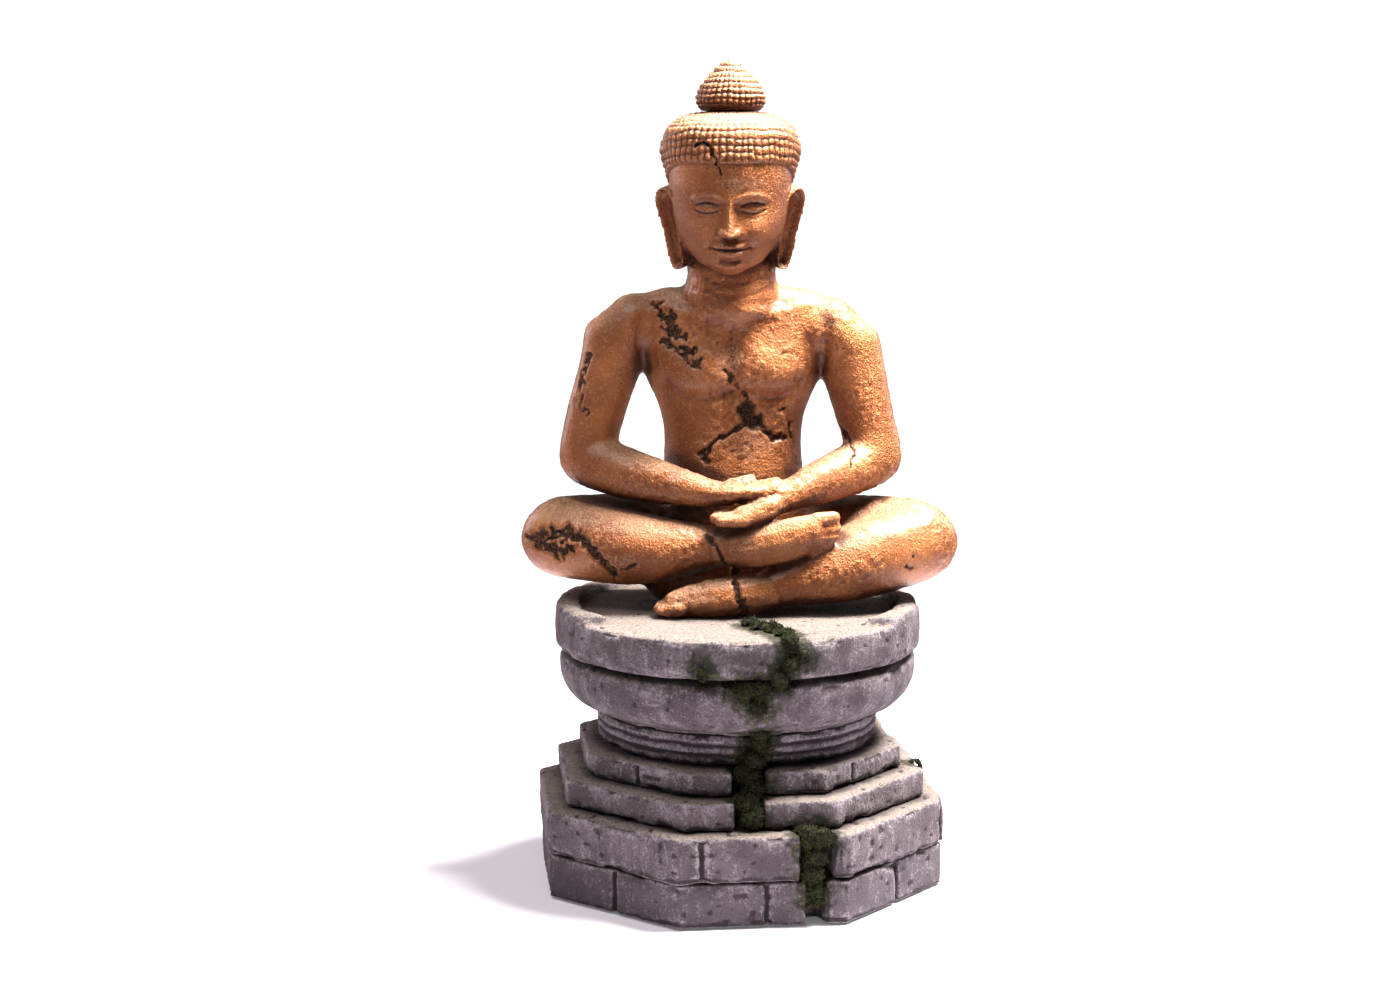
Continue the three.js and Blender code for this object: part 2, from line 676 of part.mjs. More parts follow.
const armTools = [trunkSolid(GAP), ...pinHoles, leftLegTool, rightLegTool];
addPiece("left_arm", cut(armSolid(ARM_L, FOREARM_L), armTools), GILT);
const leftArmTool = armSolid(ARM_L, FOREARM_L, GAP);
addPiece("right_arm", cut(armSolid(ARM_R, FOREARM_R), [...armTools, leftArmTool]), GILT);
const bothArms = [leftArmTool, armSolid(ARM_R, FOREARM_R, GAP)];
addPiece("left_hand", cut(handSolid(PALM_L, FINGERS_L), [...lap, ...feetTools, ...bothArms]), GILT);
const leftHandTool = handSolid(PALM_L, FINGERS_L, GAP);
addPiece(
  "right_hand",
  cut(handSolid(PALM_R, FINGERS_R), [...lap, ...feetTools, ...bothArms, leftHandTool]),
  GILT,
);

addPiece("head", cut(headSolid(), [below(NECK_TOP + GAP), above(TOPKNOT.low - GAP), ...pinHoles]), GILT);
addPiece("topknot", cut(topknotSolid(), pinHoles), GILT);

// ---- moss ------------------------------------------------------------------------------------------------
// Flock moss in the worn channel that runs down the front. Each patch is a huddle of tufts at [x, y, z] with a
// radius, cut back from the stone that it lies against.
const grown = (profile) => {
  const top = Math.max(...profile.map(([, z]) => z));
  const foot = Math.min(...profile.map(([, z]) => z));
  return profile.map(([r, z]) => [r && r + GAP, z + (z === top ? GAP : z === foot ? -GAP : 0)]);
};
const stoneTools = [
  ...Object.entries(COURSES).map(([name, { radius, low, high }]) => {
    const across = radius * Math.cos(EIGHTH / 2);
    const { angle, width, depth } = BREACHES[name];
    const narrowed = { angle, width: width - 2 * GAP, depth: depth - 2 * GAP, radius: across };
    const breach = slot({ ...narrowed, low: low - 2, high: high + 2 });
    return cut(octagon(radius + GAP, low - GAP, high + GAP), [breach]);
  }),
  turned(grown(DRUM_PROFILE)),
  turned(grown(bowlProfile())),
  cut(turned(grown(SLAB_PROFILE)), [
    box(2 * FAR, FAR, RIM.high - SLAB.high, at(0, RIM.worn - GAP - FAR / 2, (RIM.high + SLAB.high) / 2 + GAP)),
  ]),
];

const MOSSES = {
  moss_seat: [
    [1.6, -24.4, 80.6, 3.4],
    [3.6, -29, 80.2, 3.3],
    [6.6, -34, 79.8, 3.6],
    [10.4, -39, 79.8, 3.5],
    [13.4, -44.6, 79.6, 3.6],
  ],
  moss_slab: [
    [14.4, -50.4, 79, 3.2],
    [17.4, -50, 75.8, 3],
    [14.2, -51.4, 74, 3.2],
    [12, -51.4, 70.4, 3.2],
  ],
  moss_slab_left: [
    [-18.8, -49, 78, 2.7],
    [-16, -50.2, 75.4, 2.7],
    [-13, -51, 73.2, 2.6],
    [-9.4, -52.4, 71.4, 2.3],
  ],
  moss_bowl: [
    [1.6, -51, 66, 3.5],
    [6.6, -50.8, 66.2, 3.4],
    [5.6, -50.4, 62, 3.8],
    [10.4, -49, 61.6, 3.4],
    [7.6, -46.4, 57.4, 3.6],
  ],
  moss_waist: [
    [6.6, -43, 54.2, 3.4],
    [6.6, -41.4, 49.6, 3.4],
    [4.8, -42, 44.8, 3.6],
  ],
  moss_steps: [
    [2.8, -42.6, 40.2, 3.6],
    [4.6, -44, 36.4, 3.6],
    [2.8, -48, 33.4, 3.4],
    [4.6, -49.4, 29.6, 3.6],
  ],
  moss_plinth: [
    [19.4, -54, 25.6, 3.3],
    [23.2, -52.8, 24.8, 3.4],
    [21.4, -53.2, 20, 3.6],
    [21, -53.8, 14.6, 3],
    [21.2, -53.8, 10.4, 2.7],
    [21.6, -54.2, 7, 2.2],
  ],
  moss_right: [
    [52.6, -6.4, 33.6, 2.2],
    [53, -5, 30.6, 2.1],
  ],
};
function huddle(tufts, grow = 0) {
  return join(
    tufts.map(([x, y, z, radius], index) => {
      const lump = new THREE.IcosahedronGeometry(radius + grow, 1).rotateZ(index).rotateX(2 * index);
      return solidOf(lump.scale(1, 1, 1 - 0.1 * (index % 3)).translate(x, y, z));
    }),
  );
}
const mossTools = [];
for (const [name, tufts] of Object.entries(MOSSES)) {
  addPiece(name, main(cut(huddle(tufts), [...stoneTools, ...mossTools])), MOSS);
  mossTools.push(huddle(tufts, GAP));
}

export default statue;
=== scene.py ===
# %% [markdown]
# # A seated buddha on a ruined pedestal
#
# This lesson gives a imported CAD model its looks. The statue is a cast figure in sandy copper-gold paint,
# cracked and worn, on seven courses of grey stone with moss in a broken channel down the front. The CAD
# bodies already say where every piece is and how big it is, so this script places no piece anew: it copies a
# CAD body, turns it into an even skin of small faces, and then works on that skin as a sculptor would, by
# pushing points in and out. Only the head, which needs a face and ears, is shaped here from a ball.

import math

import bmesh
import bpy
import numpy as np
from mathutils import Matrix, Vector
from mathutils.bvhtree import BVHTree


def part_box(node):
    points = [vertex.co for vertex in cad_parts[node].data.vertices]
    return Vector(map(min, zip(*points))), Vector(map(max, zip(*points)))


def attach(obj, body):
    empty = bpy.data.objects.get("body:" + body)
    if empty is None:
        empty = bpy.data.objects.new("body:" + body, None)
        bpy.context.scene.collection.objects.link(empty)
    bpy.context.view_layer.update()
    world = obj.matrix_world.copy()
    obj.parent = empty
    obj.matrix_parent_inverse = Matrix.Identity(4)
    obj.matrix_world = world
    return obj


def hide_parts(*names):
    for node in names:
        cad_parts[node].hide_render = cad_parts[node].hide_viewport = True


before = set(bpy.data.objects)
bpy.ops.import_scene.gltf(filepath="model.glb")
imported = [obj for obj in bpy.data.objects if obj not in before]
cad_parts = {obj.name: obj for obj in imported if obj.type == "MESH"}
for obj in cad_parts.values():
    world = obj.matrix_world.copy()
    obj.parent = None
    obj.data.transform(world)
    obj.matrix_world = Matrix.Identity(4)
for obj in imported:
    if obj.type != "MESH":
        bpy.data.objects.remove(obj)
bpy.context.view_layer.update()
MM = 0.001
scene = bpy.context.scene

# %% [markdown]
# ## Camera
#
# A small statue is shot from a step away with a longish lens, a little above its middle, so the pedestal's
# rounds show as flat ellipses. The camera is turned slightly so that the statue stands right of the middle.

# %% Camera
CAMERA_PLACE = Vector((0.0, -0.683, 0.211))
CAMERA_TILT = math.radians(8.22)
CAMERA_TURN = math.radians(0.93)
LENS, SENSOR_WIDE = 60, 36  # millimetres

camera_data = bpy.data.cameras.new("camera")
camera_data.lens = LENS
camera_data.sensor_width = SENSOR_WIDE
camera_data.clip_start = 0.01
camera = bpy.data.objects.new("camera", camera_data)
camera.location = CAMERA_PLACE
camera.rotation_euler = (math.pi / 2 - CAMERA_TILT, 0, CAMERA_TURN)
scene.collection.objects.link(camera)
scene.camera = camera
print("camera at", tuple(CAMERA_PLACE), "lens", LENS)

# %% [markdown]
# ## Shader maths as Python
#
# A material is a graph of nodes. Writing `1 - mask * 0.5` is easier to read than wiring three Math nodes, so
# one small class wraps a socket and turns each operator into a Math node. Any other node comes from one
# method, `node`, which takes the node's type, its settings and what goes into its sockets.

# %% Sockets with operators
class Value:
    """A number on its way through a material, with Python's operators."""

    def __init__(self, made, socket):
        self.made = made
        self.socket = socket

    def _math(self, operation, *others):
        return self.made.node("ShaderNodeMath", {"operation": operation}, {
            k: v for k, v in enumerate((self, *others))
        })

    def __add__(self, other):
        return self._math("ADD", other)

    def __sub__(self, other):
        return self._math("SUBTRACT", other)

    def __mul__(self, other):
        return self._math("MULTIPLY", other)

    __radd__ = __add__
    __rmul__ = __mul__

    def __rsub__(self, other):
        return (self * -1) + other

    def clamp(self):
        return self._math("MINIMUM", 1)._math("MAXIMUM", 0)

    def over(self, other):
        """The larger of the two."""
        return self._math("MAXIMUM", other)

    def step(self, low, high):
        """0 below low, 1 above high, with a smooth slope between."""
        settings = {"interpolation_type": "SMOOTHSTEP"}
        return self.made.node("ShaderNodeMapRange", settings, {0: self, 1: low, 2: high})


class Finish:
    """One material, built node by node round a Principled BSDF."""

    def __init__(self, name, **uniform):
        self.material = bpy.data.materials.new(name)
        self.material.use_nodes = True
        self.tree = self.material.node_tree
        self.shader = self.tree.nodes["Principled BSDF"]
        for socket, value in uniform.items():
            self.shader.inputs[socket.replace("_", " ")].default_value = value
        self.place = self.node("ShaderNodeTexCoord", {}, {}, output="Object")

    def plug(self, value, socket):
        """Links a value to a socket, or writes a plain number or colour into it."""
        if isinstance(value, Value):
            self.tree.links.new(value.socket, socket)
        else:
            socket.default_value = value

    def node(self, kind, settings, inputs, output=0):
        """Any node, from its type, its settings and what goes into its sockets."""
        made = self.tree.nodes.new(kind)
        for name, value in settings.items():
            setattr(made, name, value)
        for socket, value in inputs.items():
            self.plug(value, made.inputs[socket])
        return Value(self, made.outputs[output])

    def noise(self, size, detail=2.0, roughness=0.5, stretch=(1, 1, 1)):
        """Noise from 0 to 1 whose lumps are about `size` metres across."""
        place = self.place
        if stretch != (1, 1, 1):
            scaled = [1 / s for s in stretch]
            place = self.node("ShaderNodeMapping", {}, {"Vector": place, "Scale": scaled})
        sockets = {"Vector": place, "Scale": 1 / size, "Detail": detail, "Roughness": roughness}
        return self.node("ShaderNodeTexNoise", {}, sockets)

    def cells(self, size):
        """Distance from the nearest of many scattered points, in cells about `size` metres across."""
        return self.node("ShaderNodeTexVoronoi", {}, {"Vector": self.place, "Scale": 1 / size})

    def attribute(self, name):
        """A number that the mesh holds at each point."""
        return self.node("ShaderNodeAttribute", {"attribute_name": name}, {}, output="Fac")

    def mix(self, share, first, second):
        """Colour `first` where share is 0 and `second` where it is 1."""
        settings = {"data_type": "RGBA"}
        sockets = {0: share, 6: self._colour(first), 7: self._colour(second)}
        return self.node("ShaderNodeMix", settings, sockets, output=2)

    @staticmethod
    def _colour(value):
        return value if isinstance(value, Value) else (*value, 1)

    def upward(self):
        """1 on faces that look up, 0 on walls, -1 below."""
        normal = self.node("ShaderNodeNewGeometry", {}, {}, output="Normal")
        return self.node("ShaderNodeSeparateXYZ", {}, {0: normal}, output="Z")

    def height(self):
        """Metres above the floor."""
        return self.node("ShaderNodeSeparateXYZ", {}, {0: self.place}, output="Z")

    def rough(self, height, depth, under=None):
        """Bump from a height, `depth` metres for each unit of it."""
        sockets = {"Height": height, "Distance": depth, "Strength": 1.0}
        if under is not None:
            sockets["Normal"] = under
        return self.node("ShaderNodeBump", {}, sockets)

    def finish(self, **sockets):
        """Fills the shader's own sockets and hands over the material."""
        for name, value in sockets.items():
            self.plug(value, self.shader.inputs[name.replace("_", " ")])
        print(self.material.name, "is made of", len(self.tree.nodes), "nodes")
        return self.material


# %% [markdown]
# ## The sculptor's tools
#
# Each skin is handled as arrays of points, because moving a hundred thousand points one at a time is slow in
# Python and fast in numpy. `grain` is smooth noise worked out from a point's place, so it is the same on
# every run. `relaxed` evens a skin out by pulling each point towards the middle of its neighbours; doing a
# pull and then a slightly stronger push (Taubin's method) takes out facets and keeps the volume.

# %% Noise at points
# large numbers that scramble a grid corner's place, so that neighbours have nothing in common
HASH = np.array([374761393, 668265263, 2147483642], dtype=np.uint64)
SCRAMBLE = np.uint64(1274126177)
SEED_STEP = 1013
CELLS_AWAY = 1000.0  # keeps the numbers of the grid's cells above 0


def corner_values(cells, seed):
    """A repeatable number from -1 to 1 for each whole-number corner of a grid."""
    mixed = (cells.astype(np.int64).astype(np.uint64) * HASH).sum(1) + np.uint64(seed * SEED_STEP)
    mixed ^= mixed >> np.uint64(13)
    mixed *= SCRAMBLE
    mixed ^= mixed >> np.uint64(16)
    return (mixed & np.uint64(0xFFFF)).astype(float) / (0xFFFF / 2) - 1


def grain(points, size, seed=0):
    """Smooth noise from -1 to 1 with lumps about `size` metres across."""
    place = points / size + CELLS_AWAY
    cell = np.floor(place)
    share = place - cell
    share = share * share * (3 - 2 * share)
    total = np.zeros(len(points))
    for corner in np.ndindex(2, 2, 2):
        weight = np.prod(np.where(corner, share, 1 - share), axis=1)
        total += weight * corner_values(cell + corner, seed)
    return total


def grains(points, size, octaves, seed=0):
    """Several sizes of grain on top of one another, each half as big as the last."""
    return sum(grain(points, size / 2**k, seed + k) / 2**k for k in range(octaves))


def layered(points, layers, seed):
    """Grain of several chosen sizes added up; each layer is a size and a height in millimetres."""
    return sum(height * grain(points, size * MM, seed + k) for k, (size, height) in enumerate(layers))


# %% [markdown]
# A mesh hands all its points over in one call and takes them back in another; in between they are a numpy
# array, which any of the functions below may bend. A number for each point, such as how deep it lies, stays
# with the mesh as an attribute, and the materials read it.

# %% Reading and writing a skin
def points_of(mesh):
    """Every point's place, one row for each."""
    flat = np.empty(len(mesh.vertices) * 3, dtype=np.float32)
    mesh.vertices.foreach_get("co", flat)
    return flat.reshape(-1, 3).astype(float)


def normals_of(mesh):
    """The way the skin faces at each point."""
    flat = np.empty(len(mesh.vertices) * 3, dtype=np.float32)
    mesh.vertex_normals.foreach_get("vector", flat)
    return flat.reshape(-1, 3).astype(float)


def move_points(mesh, points):
    """Puts each point where its row says."""
    mesh.vertices.foreach_set("co", points.astype(np.float32).ravel())
    mesh.update()


def keep(mesh, name, values):
    """Stores one number for each point, for a material to read."""
    layer = mesh.attributes.get(name) or mesh.attributes.new(name, "FLOAT", "POINT")
    layer.data.foreach_set("value", values.astype(np.float32))


def edges_of(mesh):
    """The two points that each edge joins."""
    flat = np.empty(len(mesh.edges) * 2, dtype=np.int32)
    mesh.edges.foreach_get("vertices", flat)
    return flat.reshape(-1, 2)


def averaged(values, edges):
    """Each point's value replaced by the mean of its neighbours'."""
    count = np.bincount(edges.ravel(), minlength=len(values)).astype(float)
    columns = []
    for column in values.reshape(len(values), -1).T:
        total = np.bincount(edges[:, 0], column[edges[:, 1]], len(values))
        total += np.bincount(edges[:, 1], column[edges[:, 0]], len(values))
        columns.append(total / np.maximum(count, 1))
    return np.stack(columns, 1).reshape(values.shape)


PULL, PUSH = 0.5, 0.53  # the push is a little stronger, or the skin would shrink


def relaxed(points, edges, rounds, keep_volume=True):
    """Points moved towards the middle of their neighbours, round after round."""
    for _ in range(rounds):
        points = points + PULL * (averaged(points, edges) - points)
        if keep_volume:
            points = points - PUSH * (averaged(points, edges) - points)
    return points


def bending(values, ends):
    """Each point's differences from its neighbours, summed."""
    first, second = ends
    step = values[first] - values[second]
    total = np.empty_like(values)
    for k, column in enumerate(step.T):
        total[:, k] = np.bincount(first, column, len(values)) - np.bincount(second, column, len(values))
    return total


def faired(points, edges, stiffness, rounds):
    """The skin that a springy sheet would take up: near the old one, and bent as little as can be.

    Stiffness is one number for each point. The sheet's shape is the answer to one large set of equations,
    which conjugate gradients solve step by step.
    """
    ends = np.ascontiguousarray(edges.T)

    def pull(values):
        return values + bending(bending(values, ends) * stiffness[:, None], ends)

    shape = points.copy()
    left = points - pull(shape)
    way = left.copy()
    size = (left**2).sum()
    for _ in range(rounds):
        pulled = pull(way)
        step = size / (way * pulled).sum()
        shape += step * way
        left -= step * pulled
        size, old = (left**2).sum(), size
        way = left + (size / old) * way
    return shape


def hollowness(mesh, rounds=8):
    """How far each point lies below its surroundings, in metres: above 0 in hollows, below 0 on edges."""
    points = points_of(mesh)
    surroundings = relaxed(points, edges_of(mesh), rounds, keep_volume=False)
    return ((surroundings - points) * normals_of(mesh)).sum(1)


# %% [markdown]
# The CAD bodies have long thin faces, which can't be bent. A voxel remesh rebuilds the outside of anything
# from small even squares, and melts together whatever overlaps.

# %% From CAD body to even skin
def new_object(name, data):
    """Puts a mesh or a lamp into the scene."""
    made = bpy.data.objects.new(name, data)
    scene.collection.objects.link(made)
    return made


def copy_of(*nodes, swell=0.0):
    """One bmesh with the CAD bodies' merged copies in it, each pushed out by `swell`."""
    gathered = bmesh.new()
    for node in nodes:
        gathered.from_mesh(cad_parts[node].data)
    bmesh.ops.remove_doubles(gathered, verts=gathered.verts, dist=1e-6)
    gathered.normal_update()
    for vertex in gathered.verts:
        vertex.co += vertex.normal * swell
    return gathered


def even_skin(name, gathered, voxel):
    """The outer skin of everything in a bmesh, rebuilt from even square faces `voxel` metres wide."""
    rough = bpy.data.meshes.new(name)
    gathered.to_mesh(rough)
    gathered.free()
    made = new_object(name, rough)
    remesh = made.modifiers.new("even", "REMESH")
    remesh.mode = "VOXEL"
    remesh.voxel_size = voxel
    evaluated = made.evaluated_get(bpy.context.evaluated_depsgraph_get())
    made.data = bpy.data.meshes.new_from_object(evaluated)
    made.data.name = name
    made.modifiers.clear()
    bpy.data.meshes.remove(rough)
    drop_inner_shells(made.data)
    print(f"{name}: {len(made.data.vertices)} points in its even skin")
    return made


def drop_inner_shells(mesh):
    """Keeps the one connected skin that reaches furthest, without the shells of closed holes inside it."""
    edges = edges_of(mesh)
    label = np.arange(len(mesh.vertices))
    while True:
        lowest = label.copy()
        np.minimum.at(lowest, edges[:, 0], label[edges[:, 1]])
        np.minimum.at(lowest, edges[:, 1], label[edges[:, 0]])
        lowest = lowest[lowest]
        if (lowest == label).all():
            break
        label = lowest
    names, sizes = np.unique(label, return_counts=True)
    if len(names) == 1:
        return
    extra = np.nonzero(label != names[sizes.argmax()])[0]
    cleaned = bmesh.new()
    cleaned.from_mesh(mesh)
    cleaned.verts.ensure_lookup_table()
    bmesh.ops.delete(cleaned, geom=[cleaned.verts[i] for i in extra], context="VERTS")
    cleaned.to_mesh(mesh)
    cleaned.free()


def smooth_shaded(made):
    """Shades the skin as one curved surface."""
    made.data.polygons.foreach_set("use_smooth", [True] * len(made.data.polygons))
    made.data.update()


# %% [markdown]
# Three brushes do nearly all the modelling: a round hump, a line drawn from the front, and a smooth slope
# that turns any measure into a share from 0 to 1.

# %% Brushes
def hump(points, centre, reach):
    """1 at the centre, falling smoothly away; reach is one size or one for each axis, in metres."""
    away = (points - np.array(centre)) / np.array(reach)
    return np.exp(-(away**2).sum(1))


def front_distance(points, path):
    """Distance from an [x, z] line as seen from straight in front."""
    flat = points[:, [0, 2]]
    best = np.full(len(points), 1.0)
    for start, end in zip(path[:-1], path[1:]):
        start, run = np.array(start), np.array(end) - np.array(start)
        along = np.clip((flat - start) @ run / (run @ run), 0, 1)
        best = np.minimum(best, np.linalg.norm(flat - start - along[:, None] * run, axis=1))
    return best


def drawn(points, path, width):
    """1 along an [x, z] line drawn from the front, falling away over `width` millimetres."""
    return np.exp(-((front_distance(points, path) / (width * MM)) ** 2))


def slope(values, low, high):
    """0 below low, 1 above high, with a smooth slope between; low may be the larger."""
    share = np.clip((values - low) / (high - low), 0, 1)
    return share * share * (3 - 2 * share)


# %% [markdown]
# ## Stone
#
# The courses are cast to look like old masonry: edges worn round, faces a little hollow, pits all over. The
# copy of each course is remeshed, relaxed until its edges are round, and pushed in and out by a few sizes of
# grain. Convex edges are found by comparing the skin with a much more relaxed one, and chips are knocked out
# of them where a coarse grain is high. The upright joints between blocks, and the fine grooves round the
# waist, are cut in the same push.

# %% Stone courses
STONE_VOXEL = 0.75 * MM
STONES = [
    "plinth_lower_course", "plinth_upper_course", "lower_step", "upper_step", "waist_drum", "bowl_moulding",
    "seat_slab",
]

# Where the upright joints between blocks lie: degrees from straight ahead towards the statue's left.
BLOCK_JOINTS = {
    "plinth_lower_course": [-37, 8.5, 53, 97, 143, 188, 232, 282],
    "plinth_upper_course": [-9, 74, 121, 165, 210, 255, 292],
    "lower_step": [-72, 83, 131, 178, 226],
    "upper_step": [-38, 46, 106, 154, 201, 250, 296],
}
# How high on its course each fine groove runs, as a share of the course's height.
TURNED_GROOVES = {"waist_drum": [0.34, 0.66]}

# %% How a course wears
# Each layer is a grain size and a height; these and the depths are in millimetres.
EDGE_ROUNDS = 3  # more rounds wear the edges rounder
WALL_TILT = (0.85, 0.5)  # a face is a wall when its normal points less than this up or down
LUMPS = [(11, 0.22), (4.5, 0.16), (1.9, 0.09)]
JOINT_SWAY = [(4, 0.5), (1.5, 0.3)]
JOINT_EDGES = (1.0, 0.35)  # from its middle: where a joint starts, and where it is fully deep
JOINT_DEEP = 0.9
GROOVE_SWAY = [(6, 0.25)]
GROOVE_EDGES = (0.8, 0.3)
GROOVE_SHARE = 0.75  # of a joint's depth
CHIP_SIZE, CHIP_DEEP = 5, 0.9
CHIP_EDGES = (0.12, 0.5)  # how far an edge stands proud before it chips
CHIP_SPREAD = (0.05, 0.6)
PIT_SIZE, PIT_DEEP = 2.4, 0.32
PIT_SPREAD = (0.45, 0.8)
FLOOR_CLEAR = (0.7, 2)  # nothing is pushed below this height, so the plinth's underside stays put
FOOT_SWAY = [(3, 0.9)]
FOOT_LINE = (2.2, 0.4)  # height of the dark line along the foot of a course
SMALL_HOLLOW = 0.12  # depth that counts as 1


def block_joint(points, angles, seed):
    """1 in the joints between a course's blocks."""
    turn = np.degrees(np.arctan2(points[:, 0], -points[:, 1]))
    radius = np.hypot(points[:, 0], points[:, 1])
    sway = layered(points, JOINT_SWAY, seed)
    nearest = np.full(len(points), 1000.0)
    for angle in angles:
        away = np.radians((turn - angle + 180) % 360 - 180) * radius / MM
        nearest = np.minimum(nearest, abs(away + sway))
    return slope(nearest, *JOINT_EDGES)


def weather(mesh, angles, grooves, seed):
    """Wears a course: round edges, joints, grooves, lumps, pits and chips."""
    points = relaxed(points_of(mesh), edges_of(mesh), EDGE_ROUNDS, keep_volume=False)
    move_points(mesh, points)
    level = (points[:, 2] - points[:, 2].min()) / MM
    tall = level.max()
    wall = slope(abs(normals_of(mesh)[:, 2]), *WALL_TILT)
    joint = block_joint(points, angles, seed + 7) * wall
    wavy = level + layered(points, GROOVE_SWAY, seed + 9)
    for share in grooves:
        joint = np.maximum(joint, GROOVE_SHARE * wall * slope(abs(wavy - share * tall), *GROOVE_EDGES))
    proud = -hollowness(mesh, 30) / MM
    chips = slope(proud, *CHIP_EDGES) * slope(grain(points, CHIP_SIZE * MM, seed), *CHIP_SPREAD)
    pits = slope(grain(points, PIT_SIZE * MM, seed + 4), *PIT_SPREAD)
    push = layered(points, LUMPS, seed + 1) - PIT_DEEP * pits - CHIP_DEEP * chips - JOINT_DEEP * joint
    push *= slope(points[:, 2] / MM, *FLOOR_CLEAR)
    move_points(mesh, points + normals_of(mesh) * (push * MM)[:, None])
    keep(mesh, "hollow", hollowness(mesh, 6) / (SMALL_HOLLOW * MM))
    keep(mesh, "pit", pits)
    foot = slope(level + layered(points, FOOT_SWAY, seed + 5), *FOOT_LINE)
    keep(mesh, "joint", np.maximum(joint, wall * foot))


stones = {}
for number, node in enumerate(STONES):
    stone = even_skin(f"{node}_stone", copy_of(node), STONE_VOXEL)
    weather(stone.data, BLOCK_JOINTS.get(node, []), TURNED_GROOVES.get(node, []), 20 * number)
    smooth_shaded(stone)
    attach(stone, "root")
    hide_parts(node)
    stones[node] = stone


# %% [markdown]
# ## The figure's skin
#
# The real figure comes from one mould, so nothing shows where an arm meets the chest. The CAD castings meet
# with a hair's gap. Their copies are swollen by a little more than half that gap and remeshed together, which
# melts them into one skin. That skin is evened and modelled as a whole, and only then cut up again along the
# CAD seams, so that every casting is its own closed piece and the seams don't show.

# %% Melt the castings together
FIGURE_VOXEL = 0.55 * MM
SWELL = 0.24 * MM
CASTINGS = [
    "torso", "left_leg", "right_leg", "left_foot", "right_foot", "left_arm", "right_arm", "left_hand",
    "right_hand",
]
HIDDEN_PINS = ["left_shoulder_pin", "right_shoulder_pin", "left_hip_pin", "right_hip_pin"]

torso_low, torso_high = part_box("torso")
knot_low, knot_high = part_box("topknot")
MIDDLE_X = (torso_low.x + torso_high.x) / 2  # the figure's own middle
HEAD_X = (knot_low.x + knot_high.x) / 2  # the head is set a little to one side of it

NECK_OVAL = Matrix.Diagonal((1, 0.9, 1, 1))  # a neck is a little less deep than wide
NECK_BACK = 10.6 * MM


def add_neck(gathered, x, z, low_radius, high_radius, tall):
    """An oval cone for part of the neck, its middle at x and z; x in metres, the rest in millimetres."""
    place = Matrix.Translation((x, NECK_BACK, z * MM)) @ NECK_OVAL
    bmesh.ops.create_cone(
        gathered, cap_ends=True, cap_tris=True, segments=64, matrix=place, depth=tall * MM,
        radius1=low_radius * MM, radius2=high_radius * MM,
    )


gathered = copy_of(*CASTINGS, *HIDDEN_PINS, swell=SWELL)
add_neck(gathered, (MIDDLE_X + HEAD_X) / 2, 176, 14.2, 12.6, 18)
body = even_skin("figure_skin", gathered, FIGURE_VOXEL)
body_edges = edges_of(body.data)
print("the figure's middle is at x =", round(MIDDLE_X / MM, 2), "mm")


# %% [markdown]
# A search tree over the CAD bodies' faces answers which face is nearest to a point. It tells each face of the
# skin which casting it came from, and later each point of the stone how near the moss is.

# %% Which casting each face belongs to
def tree_of(nodes):
    """A search tree over the faces of some CAD bodies, and the number of the body that each face is from."""
    corners, faces, owner = [], [], []
    for number, node in enumerate(nodes):
        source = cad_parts[node].data
        start = len(corners)
        corners += [v.co.copy() for v in source.vertices]
        faces += [[start + i for i in p.vertices] for p in source.polygons]
        owner += [number] * len(source.polygons)
    return BVHTree.FromPolygons(corners, faces), owner


def nearest_casting(mesh, castings):
    """For each face of the mesh, the number of the casting that its centre is nearest to."""
    tree, owner = tree_of(castings)
    return np.array([owner[tree.find_nearest(p.center)[2]] for p in mesh.polygons])


def corners_and_faces(mesh):
    """For each corner of each face, its point and its face."""
    corner = np.empty(len(mesh.loops), dtype=np.int32)
    mesh.loops.foreach_get("vertex_index", corner)
    total = np.empty(len(mesh.polygons), dtype=np.int32)
    mesh.polygons.foreach_get("loop_total", total)
    return corner, np.repeat(np.arange(len(total)), total)


def smooth_borders(mesh, label, rounds):
    """Lets each face take the label that is commonest at its corners."""
    corner, face = corners_and_faces(mesh)
    for _ in range(rounds):
        votes = np.zeros((len(mesh.vertices), label.max() + 1))
        np.add.at(votes, (corner, label[face]), 1)
        tally = np.zeros((len(label), label.max() + 1))
        np.add.at(tally, face, votes[corner])
        label = tally.argmax(1)
    return label


def share_of(mesh, label, nodes):
    """For each point, the share of its faces that belong to the named castings."""
    corner, face = corners_and_faces(mesh)
    wanted = np.isin(label, [CASTINGS.index(node) for node in nodes])
    count = np.bincount(corner, minlength=len(mesh.vertices))
    return np.bincount(corner, wanted[face].astype(float), len(mesh.vertices)) / np.maximum(count, 1)


label = smooth_borders(body.data, nearest_casting(body.data, CASTINGS), 3)
print("faces in each casting:", dict(zip(CASTINGS, np.bincount(label).tolist())))

# %% [markdown]
# The CAD limbs are faceted. The skin is stiffened like a sheet of spring steel that is glued to the facets by
# weak rubber: the stiffer it is, the wider the facets that it spans. Hands and feet keep a soft sheet, or
# their fingers and toes would go.

# %% Take the facets out
LIMB_STIFF = 160.0
DIGIT_STIFF = 0.5
FAIR_ROUNDS = 110
BLEND_ROUNDS = 14  # how gently wrists and ankles pass from one stiffness to the other

